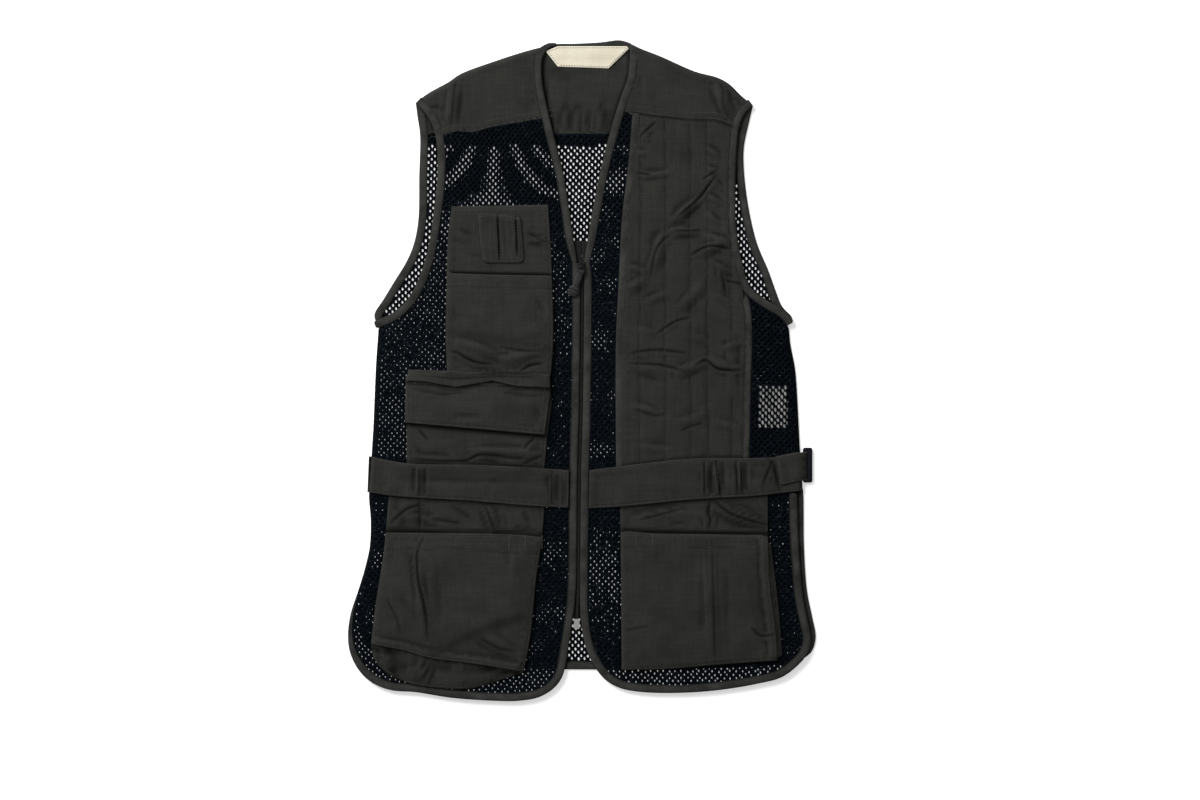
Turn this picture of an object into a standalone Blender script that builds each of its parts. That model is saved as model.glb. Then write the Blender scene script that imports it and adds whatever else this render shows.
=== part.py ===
# Shooting vest laid flat, front up: mesh and twill panels, pockets, belt, zip, bindings.
# Tables are in millimetres.
# x runs from the zip towards the wearer's left, y up the vest, z up from the table.
# R and L in a name are the wearer's right (x below 0) and left (x above 0).
# The front is laid over the back on one set of lay points. A piece sewn on a panel is made from
# the same points, moved up, so each layer follows the folds of the one below it.

import math

import bpy
import numpy as np
from mathutils import Vector
from mathutils.geometry import delaunay_2d_cdt

MM = 0.001
VEST_WIDTH = 540.0
VEST_LENGTH = 763.0

CLOTH = 1.2  # wall of one cloth
PAD_CLOTH = 2.0  # wall of the quilted shooting pad
LABEL_CLOTH = 1.0
TAPE_CLOTH = 1.0
GAP = 0.3  # between pieces, at a seam and between layers
BINDING = 9.4  # width of the edge binding
BACK_BINDING_TOP = 2.2  # height of the binding on the back, which lies on the table
BINDING_DROP = 0.4  # the front's binding starts this far below its panel
BINDING_RISE = 2.0  # and ends this far above the panel's underside

FRONT_LIFT = 3.6  # underside of the front above the table
AIR = 0.55  # half the height of the slow waves in the front
CURL = 3.6  # width over which the front turns down at a side or shoulder
CURL_WALL = 1.0  # the wall's extra height on that slope
BACK_INSET = 1.7  # the back ends this far inside the front's turned edge
LAY_PITCH = 30.0  # between lay points
CURVE_STEP = 15.0  # between points along a curve
REACH = 900.0  # past every edge of the vest: how far a cut runs

WAIST = -128.0  # seam between upper and lower fronts, under the belt
BACK_YOKE_SEAM = 273.0
BACK_BELT_TOP = -103.0
BACK_BELT_BOTTOM = -149.0

CHAIN = 3.2  # width of the zip's teeth
TAPE = 11.0  # width of each zip tape

# Curves: x, y
SHOULDER_R = ((-43, 374), (-60, 370), (-95, 359), (-141, 342), (-154, 333), (-176, 321), (-193, 309))
SHOULDER_L = ((57, 377), (67, 372), (90, 363), (131, 345), (157, 338), (171, 330), (184, 317), (198, 306))
BACK_NECK = ((57, 377.5), (45, 381.5), (21, 379), (-8, 377.5), (-30, 377), (-43, 374))
NECK_R = ((-43, 369), (-46, 358), (-46, 336), (-42, 312), (-31, 266), (-21, 226), (-12, 168), (-2, 127))
NECK_L = ((56, 373), (55, 356), (53, 338), (45, 316), (31, 270), (20, 225), (10, 166), (2, 127))
ARMHOLE_R = ((-192, 309), (-181, 297), (-171, 279), (-167, 255), (-167, 220), (-170, 191), (-178, 139),
             (-190, 102), (-203, 80), (-219, 65), (-234, 58))
ARMHOLE_L = ((196, 307), (189, 299), (182, 283), (178, 250), (177, 205), (178, 165), (186, 120),
             (193, 98), (202, 89), (217, 79), (231, 71))
BACK_ARMHOLE_R = ((-192, 308), (-190, 293), (-187, 272), (-188, 225), (-189, 174), (-194, 147), (-202, 127),
                  (-216, 104), (-230, 81), (-240, 65), (-239, 57))
BACK_ARMHOLE_L = ((198, 305), (193, 287), (187, 258), (187, 232), (192, 190), (202, 147), (215, 116),
                  (224, 91), (231, 74), (243, 61), (243, 55))
SIDE_R = ((-235, 48), (-238, 5), (-241, -65), (-243, -98), (-246, -145), (-244, -172), (-245, -203),
          (-249, -222), (-254, -240), (-260, -259))
SIDE_L = ((239, 48), (241, 29), (246, 3), (248, -20), (250, -57), (252, -98), (253.5, -141))
EDGE_R = ((-2, 124), (-2, 50), (-3.5, -57), (-5, -110), (-6, -196), (-6.5, -245), (-9, -275), (-13, -303),
          (-18, -335), (-23, -354), (-33, -367), (-50, -377), (-74, -381.1), (-98, -381.1), (-150, -377.6),
          (-192, -371), (-219, -369), (-237, -363), (-250, -354), (-260, -342), (-268, -324), (-270, -305),
          (-267, -281), (-260, -259))
EDGE_L = ((2, 124), (2, 50), (0.5, -57), (-1, -110), (-2, -196), (-2.5, -250), (-1.5, -285), (3, -315),
          (12, -337), (26, -356), (43, -366), (65, -370.5), (105, -372), (155, -369), (204, -361),
          (230, -354), (248, -341), (259, -328), (264, -312), (261, -292), (255, -262), (250, -203),
          (248, -141))
BACK_HEM = ((-256, -264), (-260, -285), (-255, -307), (-240, -323), (-215, -333), (-150, -341),
            (-60, -344.5), (60, -345), (150, -344), (215, -341), (250, -335), (265, -325), (270, -308),
            (266, -285), (260, -255), (256.5, -205), (256, -151))
BACK_CORNER_R, BACK_CORNER_L = (-231.5, 53), (235.5, 53)
YOKE_SEAM_R = ((-174, 267), (-159, 270), (-146, 275), (-124, 275), (-106, 280), (-72, 286), (-30, 293))
YOKE_SEAM_L = ((30, 296), (58, 298), (79, 295), (125, 290), (154, 289), (170, 284), (190, 279))
PAD_INNER = ((58, 297), (55, 255), (51, 220), (46, 176), (42, 100), (39, 35), (39, -112))
PAD_OUTER = ((190.5, 85), (195, 70), (196.5, 40), (195, -20), (193, -112))
# The pad's two edges run on past its seams, for the cuts along them
PAD_INNER_HEAD, PAD_INNER_FOOT = (58.2, 330), (39, WAIST - 20)
PAD_OUTER_HEADS, PAD_OUTER_FOOT = ((182, 105), (182, 400)), (193, WAIST - 20)
ZIP_LINE = ((0, 124), (0, 50), (-1.5, -57), (-3, -110), (-4, -196), (-4.5, -248), (-5.6, -286))

# Pieces on the wearer's right front: x, y
CHEST_INNER = ((-39, 191), (-36, 144), (-34, 90), (-33, 36), (-36, -5.8))
CHEST_OUTER = ((-150, 189), (-154, 157), (-156, 90), (-157, 35), (-155, -5.8))
POUCH_TOP = ((-155, 112), (-96, 110), (-34, 109))
LOOP_PATCH = ((-120, 180), (-69, 180), (-69, 124), (-120, 124))
FLAP_POCKET = ((-202, -6.2), (-37, -6.2), (-35, -38), (-40, -75), (-44, -122), (-202, -116))
FLAP = ((-203, -8), (-37, -10), (-36, -22), (-43, -74), (-124, -67), (-204, -60))
FLAP_STRIP = ((-200, 1), (-37, -5), (-37, -20), (-76, -18), (-103, -12), (-145, -19), (-180, -13),
              (-202, -12))
POCKET_R_OUTER = ((-222, -135), (-226, -187), (-229, -215), (-237, -265), (-243, -315))
POCKET_R_BOTTOM = ((-243, -315), (-203, -323), (-176, -331), (-129, -337), (-67, -347))
POCKET_R_INNER = ((-67, -347), (-59, -303), (-53, -242), (-46, -192), (-42, -135))
POCKET_R_TOP = ((-228, -187), (-83, -189), (-46, -192))
POCKET_R_TOP_ENDS = (-260, -187), (0, -192)  # the same line, run on past both sides
POCKET_R_BOTTOM_ENDS = (-260, -312), (0, -352)
GUSSET_R_EDGE = ((-243, -317), (-240, -331), (-227, -347), (-202, -359.5), (-173, -365), (-129, -366.5),
                 (-95, -357), (-68, -348.5))
BELT_R_TOP = ((-245.5, -99), (-202, -107), (-120, -109), (-44, -113), (-14.9, -115))
BELT_R_BOTTOM = ((-15.6, -158), (-44, -157), (-133, -150), (-184, -147), (-223, -144), (-247.3, -140))

# Pieces on the wearer's left front: x, y
POCKET_L_INNER = ((44, -135), (45, -219), (46, -345))
POCKET_L_BOTTOM = ((46, -345), (97, -344), (157, -339), (225, -334))
POCKET_L_OUTER = ((225, -334), (223, -300), (217, -254), (215, -219), (214, -130))
POCKET_L_TOP = ((45, -185), (82, -188), (147, -189), (214, -190))
GUSSET_L_EDGE = ((231, -334), (228, -288), (223, -242), (217, -194))
BELT_L_TOP = ((8.8, -115), (40, -111), (109, -103), (141, -101), (195, -101), (252.9, -98.5))
BELT_L_BOTTOM = ((254.3, -138), (240, -140), (194, -145), (155, -147), (113, -150), (44, -157),
                 (8, -159))
POCKET_L_TOP_ENDS = (0, -185), (260, -190)
POCKET_L_OUTER_ENDS = (233, -400), (226, -188)
STRAP = ((224, -99), (246, -94.5), (259.8, -94.5), (259.8, -125.8), (254, -126.5), (229, -132))

NECK_LABEL = ((-42, 368), (-36, 374.5), (49, 374.5), (53, 371), (31, 349), (-27, 351))
CARE_LABEL = ((204, -18), (237, -18), (237, -66), (204, -66))
LABEL_STEP = 358.0, 366.0  # between these y the neck label climbs over the neck binding

BUCKLE = ((254.9, -89), (266.0, -89), (266.0, -129.4), (254.9, -129.4))
BUCKLE_SLOT = 257.3, 260.1, -127.0, -91.6  # low and high x, low and high y
BUCKLE_HIGH = 3.4
BUCKLE_CORNER = 2.5
# The strap's underside from the belt down over the buckle's inner bar into its slot: x, height
STRAP_BENDS = ((250.0, None), (257.6, 3.75), (259.2, 1.8), (259.8, 1.2))
ZIP_BOX = ((-9.2, -286.6), (-9.2, -298), (-2.9, -298), (-2.9, -286.6))
ZIP_BOX_HIGH = 2.3

# How far each pocket stands off what it is sewn to: height, and how far in from its edges it is reached
PUFFS = {
    "chest_pouch": (1.5, 40),
    "flap_pocket": (2.0, 40),
    "lower_pocket_R": (3.0, 45),
    "pocket_gusset_R": (2.5, 14),
    "lower_pocket_L": (3.0, 45),
    "pocket_gusset_L": (1.5, 8),
}
HIDDEN_EDGE_R = 7.0  # how far the right gusset reaches under its pocket
HIDDEN_EDGE_L = 8.0
FLAP_RISE = 1.6  # how far the flap's free edge stands off
FLAP_HINGE = -14.0, 50.0  # y where it starts to rise, and the length over which it does

# Largest folds of the front: x, y of both ends, height, width
FOLDS = (
    (-148, 328, -152, 284, 2.6, 18),
    (154, 333, 171, 291, 3.2, 20),
    (107, 172, 134, 198, 2.4, 18),
    (80, 112, 96, 156, 2.8, 22),
    (100, 159, 136, 160, 1.8, 16),
    (134, 134, 168, 151, 2.2, 18),
    (160, 126, 160, 86, 1.6, 16),
    (50, 92, 76, 107, 2.0, 18),
    (108, 66, 142, 102, 2.2, 20),
    (50, 8, 104, -6, 2.4, 20),
    (104, -6, 144, 12, 2.6, 20),
    (144, 12, 188, -2, 2.6, 20),
    (172, 50, 172, -36, 1.8, 18),
    (-148, 30, -98, 14, 2.0, 18),
    (-98, 14, -42, 22, 2.0, 18),
    (-128, -92, -46, -98, 2.2, 16),
    (-208, -152, -192, -180, 2.0, 16),
    (-108, -158, -94, -188, 2.0, 16),
    (-182, -196, -178, -304, 2.6, 20),
    (151, -206, 152, -330, 2.6, 20),
    (58, -180, 122, -166, 2.2, 18),
    (156, -157, 210, -178, 2.4, 16),
)

# Pleats in the belt: x and y of both ends, height, width
PLEATS_R = (
    (-34, -116, -34, -153, 1.6, 10),
    (-22, -118, -23, -154, 1.4, 10),
    (-186, -110, -188, -144, 1.2, 14),
)
PLEATS_L = (
    (143, -104, 143, -146, 1.4, 12),
    (156, -104, 157, -144, 1.6, 12),
    (181, -104, 182, -142, 1.4, 14),
)

TWILL = (0.030, 0.030, 0.027)
BINDING_CLOTH = (0.028, 0.028, 0.026)
MESH_CLOTH = (0.006, 0.007, 0.011)


def material(name, colour, roughness, metallic=0.0):
    """A plain Principled material."""
    made = bpy.data.materials.new(name)
    made.use_nodes = True
    shader = made.node_tree.nodes["Principled BSDF"]
    shader.inputs["Base Color"].default_value = (*colour, 1.0)
    shader.inputs["Roughness"].default_value = roughness
    shader.inputs["Metallic"].default_value = metallic
    return made


def smooth(points, step=CURVE_STEP):
    """A soft curve through the points, sampled about every step."""
    at = np.array(points, float)
    chord = np.linalg.norm(np.diff(at, axis=0), axis=1)
    knot = np.concatenate([[0.0], np.cumsum(np.sqrt(chord))])
    slope = np.gradient(at, knot, axis=0)
    made = []
    for i, length in enumerate(chord):
        count = max(1, round(length / step))
        u = (np.arange(count) / count)[:, None]
        h = knot[i + 1] - knot[i]
        made.append(
            (2 * u**3 - 3 * u**2 + 1) * at[i]
            + (u**3 - 2 * u**2 + u) * h * slope[i]
            + (3 * u**2 - 2 * u**3) * at[i + 1]
            + (u**3 - u**2) * h * slope[i + 1]
        )
    made.append(at[-1:])
    return np.concatenate(made)


def normals(curve):
    """The unit normal to the left of the direction of travel, at each point."""
    along = np.gradient(curve, axis=0)
    along /= np.linalg.norm(along, axis=1)[:, None]
    return np.stack([-along[:, 1], along[:, 0]], axis=1)


def beside(curve, distance):
    """The curve moved to its left by the distance, one number or one for each point."""
    return curve + normals(curve) * np.reshape(distance, (-1, 1))


def crease(fold):
    """The line inside a fold where its turn ends, with a quarter circle round each end."""
    side = normals(fold)
    first, last = fold[0] - fold[1], fold[-1] - fold[-2]
    turn = np.radians([90.0, 50.0])[:, None]
    start = fold[0] + CURL * (np.cos(turn) * side[0] + np.sin(turn) * first / np.linalg.norm(first))
    end = fold[-1] + CURL * (np.cos(turn) * side[-1] + np.sin(turn) * last / np.linalg.norm(last))
    return np.concatenate([start, beside(fold, CURL), end[::-1]])


def distance(xy, curve):
    """How far each point is from the curve, and whether it is to the curve's left."""
    start, step = curve[:-1], np.diff(curve, axis=0)
    rest = xy[:, None] - start
    t = np.clip((rest * step).sum(2) / (step**2).sum(1), 0, 1)
    off = rest - t[..., None] * step
    far = np.linalg.norm(off, axis=2)
    nearest = far.argmin(1)
    each = np.arange(len(xy))
    side = step[nearest, 0] * off[each, nearest, 1] - step[nearest, 1] * off[each, nearest, 0]
    return far[each, nearest], side >= 0


def beyond(curve, dx, dy):
    """The area on the (dx, dy) side of a curve: what a cut along the curve takes off."""
    away = np.array([dx, dy], float) * REACH
    return np.concatenate([curve, curve[::-1] + away])


def turned(outline):
    """The outline, counterclockwise."""
    x, y = outline.T
    area = (x * np.roll(y, -1) - np.roll(x, -1) * y).sum()
    return outline if area > 0 else outline[::-1]


def fold_height(rows, xy):
    """Height of the ridges at each point: a cosine across, a sine along."""
    total = np.zeros(len(xy))
    for x0, y0, x1, y1, height, width in rows:
        start = np.array([x0, y0], float)
        along = np.array([x1, y1]) - start
        length = np.linalg.norm(along)
        along /= length
        rest = xy - start
        t = np.clip(rest @ along / length, 0, 1)
        across = np.abs(rest @ np.array([-along[1], along[0]])) / (width / 2)
        beside_it = 0.5 + 0.5 * np.cos(math.pi * np.clip(across, 0, 1))
        total = np.maximum(total, height * beside_it * np.sin(math.pi * t))
    return total


def fold_lines(rows, step=24.0):
    """The crest and the two feet of each ridge."""
    made = []
    for x0, y0, x1, y1, _, width in rows:
        ends = np.array([(x0, y0), (x1, y1)], float)
        count = max(2, round(np.linalg.norm(ends[1] - ends[0]) / step))
        crest = ends[0] + (ends[1] - ends[0]) * np.linspace(0, 1, count + 1)[:, None]
        made += [crest, beside(crest, width / 2)[1:-1], beside(crest, -width / 2)[1:-1]]
    return made


def triangulate(areas, lines, loose=()):
    """Points, triangles and the areas that hold each triangle, from closed areas and open lines."""
    points, edges, faces = [], [], []
    for area in areas:
        area = turned(area)
        faces.append(list(range(len(points), len(points) + len(area))))
        points += area.tolist()
    for line in lines:
        first = len(points)
        edges += [(first + i, first + i + 1) for i in range(len(line) - 1)]
        points += line.tolist()
    points += [list(p) for p in loose]
    at, _, triangles, _, _, held = delaunay_2d_cdt([Vector(p) for p in points], edges, faces, 0, 0.02)
    at, triangles = np.array([tuple(p) for p in at]), np.array(triangles)
    a, b, c = (at[triangles[:, i]] for i in range(3))
    area = (b - a)[:, 0] * (c - a)[:, 1] - (b - a)[:, 1] * (c - a)[:, 0]
    triangles[area < 0] = triangles[area < 0][:, ::-1]
    return at, triangles, held


def lay_points():
    """The points and triangles that every layer of the front is made from."""
    ridges = fold_lines(FOLDS)
    taken = np.concatenate(ridges)
    half_width, half_length = VEST_WIDTH / 2 + LAY_PITCH, VEST_LENGTH / 2 + LAY_PITCH
    x, y = np.meshgrid(
        np.arange(-half_width, half_width + LAY_PITCH, LAY_PITCH),
        np.arange(-half_length, half_length + LAY_PITCH, LAY_PITCH),
    )
    x = x + LAY_PITCH / 2 * (np.arange(len(x)) % 2)[:, None]
    grid = np.stack([x.ravel(), y.ravel()], axis=1)
    near = np.linalg.norm(grid[:, None] - taken, axis=2).min(1)
    at, triangles, _ = triangulate([], ridges, grid[near > LAY_PITCH / 3])
    return at, triangles


def lay_height(xy):
    """Underside of the front above the table: slow waves that die out at the zip, and the folds."""
    x, y = xy.T
    wave = AIR * (1 + np.sin(x / 61) * np.cos(y / 83)) * (1 - np.exp(-((x / 45) ** 2)))
    return FRONT_LIFT + wave + fold_height(FOLDS, xy)


LAY, LAY_TRIANGLES = lay_points()
FRONT = lay_height(LAY)


def lay_triangle(xy):
    """The lay triangle that holds each point, and the point's three weights in it."""
    a, b, c = (LAY[LAY_TRIANGLES[:, i]] for i in range(3))
    whole = (b - a)[:, 0] * (c - a)[:, 1] - (b - a)[:, 1] * (c - a)[:, 0]
    found, weights = [], []
    for block in np.array_split(xy, max(1, len(xy) // 500)):
        p = block[:, None]
        v = ((p - a)[..., 0] * (c - a)[:, 1] - (p - a)[..., 1] * (c - a)[:, 0]) / whole
        w = ((b - a)[:, 0] * (p - a)[..., 1] - (b - a)[:, 1] * (p - a)[..., 0]) / whole
        every = np.stack([1 - v - w, v, w], axis=2)
        best = every.min(2).argmax(1)
        found.append(best)
        weights.append(every[np.arange(len(block)), best])
    return np.concatenate(found), np.concatenate(weights)


def on_lay(heights, xy):
    """The heights at the lay points, carried straight across each lay triangle."""
    found, weights = lay_triangle(xy)
    return (heights[LAY_TRIANGLES[found]] * weights).sum(1)


def lay_edges(outline):
    """The lay triangles' edges near the outline, as short lines."""
    low, high = outline.min(0) - 1, outline.max(0) + 1
    ends = np.concatenate([LAY_TRIANGLES[:, [0, 1]], LAY_TRIANGLES[:, [1, 2]], LAY_TRIANGLES[:, [2, 0]]])
    ends = np.unique(np.sort(ends, axis=1), axis=0)
    a, b = LAY[ends[:, 0]], LAY[ends[:, 1]]
    near = ((np.maximum(a, b) >= low) & (np.minimum(a, b) <= high)).all(1)
    return [LAY[pair] for pair in ends[near]]


def largest_patch(triangles):
    """The triangles that hang together edge to edge, without any scrap that a cut leaves beside them."""
    ends = np.concatenate([triangles[:, [0, 1]], triangles[:, [1, 2]], triangles[:, [2, 0]]])
    ends = np.sort(ends, axis=1)
    owner = np.tile(np.arange(len(triangles)), 3)
    order = np.lexsort(ends.T)
    same = (ends[order][1:] == ends[order][:-1]).all(1)
    first, second = owner[order][:-1][same], owner[order][1:][same]
    group = np.arange(len(triangles))
    while True:
        new = group.copy()
        np.minimum.at(new, first, group[second])
        np.minimum.at(new, second, group[first])
        if (new == group).all():
            break
        group = new
    marks, counts = np.unique(group, return_counts=True)
    return triangles[group == marks[counts.argmax()]]


def solid(name, points, faces, finish, crease=40.0):
    """An object of these points, in millimetres, with its faces turned outwards."""
    volume = 0.0
    for face in faces:
        a = points[face[0]]
        for i in range(1, len(face) - 1):
            volume += np.dot(a, np.cross(points[face[i]], points[face[i + 1]]))
    if volume < 0:
        faces = [face[::-1] for face in faces]
    mesh = bpy.data.meshes.new(name)
    mesh.from_pydata((points * MM).tolist(), [], [list(map(int, face)) for face in faces])
    mesh.materials.append(finish)
    mesh.shade_smooth()
    mesh.set_sharp_from_angle(angle=math.radians(crease))
    made = bpy.data.objects.new(name, mesh)
    bpy.context.scene.collection.objects.link(made)
    return made


def wall(name, outline, cuts, low, thick, finish, lines=(), layered=True):
    """A wall of cloth: the outline less the cuts, from low(xy) up by thick or thick(xy).

    It gives the lay triangles that it covers.
    """
    lines = list(lines) + (lay_edges(outline) if layered else [])
    at, triangles, held = triangulate([outline, *cuts], lines)
    inside = [i for i, areas in enumerate(held) if 0 in areas and len(areas) == 1]
    triangles = largest_patch(triangles[inside])
    used, triangles = np.unique(triangles, return_inverse=True)
    at, triangles = at[used], triangles.reshape(-1, 3)
    under = low(at)
    over = under + (thick(at) if callable(thick) else thick)
    count = len(at)
    points = np.concatenate([np.column_stack([at, under]), np.column_stack([at, over])])
    ends = np.concatenate([triangles[:, [0, 1]], triangles[:, [1, 2]], triangles[:, [2, 0]]])
    twin = {tuple(pair) for pair in ends[:, ::-1].tolist()}
    rim = [pair for pair in map(tuple, ends.tolist()) if pair not in twin]
    faces = [*(triangles + count).tolist(), *triangles[:, ::-1].tolist()]
    faces += [(a, b, b + count, a + count) for a, b in rim]
    solid(name, points, faces, finish)
    return np.unique(lay_triangle(at[triangles].mean(1))[0])


def bar(name, curve, width, low, high, finish, shoulder=0.6):
    """A bound edge: a rounded strip to the left of the curve, from low up to high at each point of it."""
    across = np.array([0.0, 1.0, 1.0, 0.5, 0.0])
    up = np.array([0.0, 0.0, shoulder, 1.0, shoulder])
    sideways = normals(curve)
    width = np.reshape(width, (-1, 1)) * np.ones((len(curve), 1))
    flat = curve[:, None] + sideways[:, None] * (across * width)[..., None]
    z = low[:, None] + up * (high - low)[:, None]
    points = np.concatenate([flat, z[..., None]], axis=2).reshape(-1, 3)
    n, k = len(curve), len(across)
    faces = [tuple(range(k)), tuple((n - 1) * k + j for j in range(k))[::-1]]
    for i in range(n - 1):
        for j in range(k):
            a, b = i * k + j, i * k + (j + 1) % k
            faces.append((a, a + k, b + k, b))
    return solid(name, points, faces, finish)


def band(curve, width=BINDING, spare=6.0):
    """The area that a binding along the curve's left takes from its panel."""
    return np.concatenate([beside(curve, -spare), beside(curve, np.asarray(width) + GAP)[::-1]])


class Layers:
    """The top of all that is laid so far, at the lay points."""

    def __init__(self, heights):
        self.top = heights.copy()

    def raise_to(self, laid):
        """Lifts the lay points under each (lay triangles, heights)."""
        new = self.top.copy()
        for triangles, heights in laid:
            touched = np.unique(LAY_TRIANGLES[triangles])
            new[touched] = np.maximum(new[touched], heights[touched])
        self.top = new


def puffed(outline, height, reach):
    """How far a pocket stands off what it is sewn to: nothing at its edges, height from reach inwards."""
    closed = np.concatenate([outline, outline[:1]])

    def rise(xy):
        near = np.clip(distance(xy, closed)[0] / reach, 0, 1)
        return height * (1 - (1 - near) ** 2)

    return rise


def curled(fold, heights, rest, thick):
    """Underside and wall of a piece over the lay that turns down to rest at the fold.

    The piece is on the fold's left.
    """

    def share(xy):
        far, inside = distance(xy, fold)
        return np.minimum(np.where(inside, far, -far) / CURL, 1)

    def low(xy):
        return np.maximum(rest + (on_lay(heights, xy) - rest) * share(xy), 0)

    def wall_height(xy):
        return thick + CURL_WALL * np.clip(1 - share(xy), 0, 1)

    return low, wall_height


def sew_on(layers, pieces):
    """Lays pieces side by side on what is there: name, outline, cuts, rise(xy), thickness, finish."""
    laid = []
    for name, outline, cuts, rise, thick, finish in pieces:
        start = layers.top + GAP

        def low(xy, start=start, rise=rise):
            return on_lay(start, xy) + rise(xy)

        triangles = wall(name, outline, cuts, low, thick, finish)
        laid.append((triangles, start + rise(LAY) + thick))
    layers.raise_to(laid)


def flat(xy):
    return np.zeros(len(xy))


def rounded(corners, radius, steps=3):
    """A polygon's outline with its corners rounded."""
    corners = np.array(corners, float)
    made = []
    for i, corner in enumerate(corners):
        back, ahead = corners[i - 1] - corner, corners[(i + 1) % len(corners)] - corner
        start = corner + back / np.linalg.norm(back) * radius
        end = corner + ahead / np.linalg.norm(ahead) * radius
        for t in np.linspace(0, 1, steps + 1):
            made.append((1 - t) ** 2 * start + 2 * t * (1 - t) * corner + t**2 * end)
    return np.array(made)


def joined(*curves):
    """One line from curves laid end to end, without the points that two of them share."""
    at = np.concatenate([np.asarray(c, float) for c in curves])
    apart = np.linalg.norm(at - np.roll(at, 1, axis=0), axis=1) > 0.05
    return at[apart]


def shifted(curve, dx, dy):
    return np.asarray(curve, float) + (dx, dy)


def box_between(x0, x1, y0, y1):
    return np.array([(x0, y0), (x1, y0), (x1, y1), (x0, y1)], float)


for old in list(bpy.data.objects):
    bpy.data.objects.remove(old, do_unlink=True)

twill = material("twill", TWILL, 0.85)
mesh_cloth = material("mesh_cloth", MESH_CLOTH, 0.8)
binding_cloth = material("binding_cloth", BINDING_CLOTH, 0.85)
label_cloth = material("label_cloth", (0.62, 0.58, 0.47), 0.9)
care_cloth = material("care_cloth", (0.72, 0.70, 0.64), 0.9)
zip_cloth = material("zip_cloth", (0.012, 0.012, 0.013), 0.8)
zip_plastic = material("zip_plastic", (0.012, 0.012, 0.013), 0.4)
zip_metal = material("zip_metal", (0.05, 0.05, 0.05), 0.35, 1.0)
pull_rubber = material("pull_rubber", (0.015, 0.015, 0.015), 0.5)
box_metal = material("box_metal", (0.45, 0.45, 0.44), 0.4, 1.0)
buckle_plastic = material("buckle_plastic", (0.01, 0.01, 0.01), 0.2)

# Curves of the finished edges, each with the cloth on its left
shoulder_r, shoulder_l = smooth(SHOULDER_R), smooth(SHOULDER_L)[::-1]
neck_r, neck_l = smooth(NECK_R)[::-1], smooth(NECK_L)
armhole_r, armhole_l = smooth(ARMHOLE_R), smooth(ARMHOLE_L)[::-1]
back_armhole_r, back_armhole_l = smooth(BACK_ARMHOLE_R), smooth(BACK_ARMHOLE_L)[::-1]
side_r, side_l = smooth(SIDE_R, 22), smooth(SIDE_L, 22)[::-1]
edge_r, edge_l = smooth(EDGE_R)[::-1], smooth(EDGE_L)
back_neck, back_hem = smooth(BACK_NECK, 12), smooth(BACK_HEM)
yoke_seam_r, yoke_seam_l = smooth(YOKE_SEAM_R), smooth(YOKE_SEAM_L)
pad_inner, pad_outer = smooth(PAD_INNER), smooth(PAD_OUTER)[::-1]
zip_line = smooth(ZIP_LINE, 30)

front_r = joined(shoulder_r, armhole_r, side_r, edge_r, neck_r)
front_l = joined(shoulder_l, neck_l, edge_l, side_l, armhole_l)
fold_r, fold_l = joined(side_r), joined(side_l)


def back_panels():
    """The back, flat on the table: yoke, two mesh panels and the belt strip between them."""
    outline = joined(
        beside(shoulder_r, BACK_INSET),
        back_armhole_r,
        [BACK_CORNER_R],
        beside(side_r, BACK_INSET),
        back_hem,
        beside(side_l, BACK_INSET),
        [BACK_CORNER_L],
        back_armhole_l,
        beside(shoulder_l, BACK_INSET),
        back_neck,
    )
    bands = [band(back_armhole_r), band(back_armhole_l), band(back_hem), band(back_neck)]
    seams = (
        ("back_yoke", BACK_YOKE_SEAM, REACH, twill),
        ("back_mesh_upper", BACK_BELT_TOP, BACK_YOKE_SEAM, mesh_cloth),
        ("back_belt", BACK_BELT_BOTTOM, BACK_BELT_TOP, twill),
        ("back_mesh_lower", -REACH, BACK_BELT_BOTTOM, mesh_cloth),
    )
    for name, low, high, finish in seams:
        ends = [
            box_between(-REACH, REACH, -REACH, low + GAP / 2),
            box_between(-REACH, REACH, high - GAP / 2, REACH),
        ]
        cuts = bands + [end for end in ends if np.ptp(end[:, 1]) > 1]
        wall(name, outline, cuts, flat, CLOTH, finish, layered=False)


def back_bindings():
    curves = (
        ("back_armhole_binding_R", back_armhole_r[1:]),
        ("back_armhole_binding_L", back_armhole_l[:-1]),
        ("back_hem_binding", back_hem),
        ("back_neck_binding", back_neck[1:-1]),
    )
    for name, curve in curves:
        ground = np.zeros(len(curve))
        bar(name, curve, BINDING, ground, ground + BACK_BINDING_TOP, binding_cloth)


def labels():
    """The bare neck label, lying over the neck binding, and the bare care label inside the left side."""
    over, off = BACK_BINDING_TOP + GAP, CLOTH + GAP
    start, end = LABEL_STEP
    outline = np.array(NECK_LABEL, float)
    sides = (-60.0, 70.0)  # past both ends of the label
    steps = [np.array([(x, y) for x in sides]) for y in LABEL_STEP]

    def low(xy):
        return off + (over - off) * np.clip((xy[:, 1] - start) / (end - start), 0, 1)

    def level(xy):
        return flat(xy) + off

    wall("neck_label", outline, [], low, LABEL_CLOTH, label_cloth, steps, False)
    wall("care_label", rounded(CARE_LABEL, 2), [], level, LABEL_CLOTH, care_cloth, (), False)


def front_binding(name, curve, width=BINDING, over=FRONT):
    """A binding on the front, at the height of its panel. It gives the lay triangles that it covers."""
    middle = beside(curve, np.asarray(width) / 2)
    height = on_lay(over, middle)
    bar(name, curve, width, height - BINDING_DROP, height + BINDING_RISE, binding_cloth)
    across = [lay_triangle(beside(curve, np.asarray(width) * share))[0] for share in (0, 0.5, 1)]
    return np.unique(np.concatenate(across))


def hem_width(curve, end):
    """Width of an edge binding that runs out over the side, by the distance from that end."""
    far = np.concatenate([[0.0], np.cumsum(np.linalg.norm(np.diff(curve, axis=0), axis=1))])
    far = far if end == 0 else far[-1] - far
    return np.minimum(BINDING, 1.6 + 0.085 * far)


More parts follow.
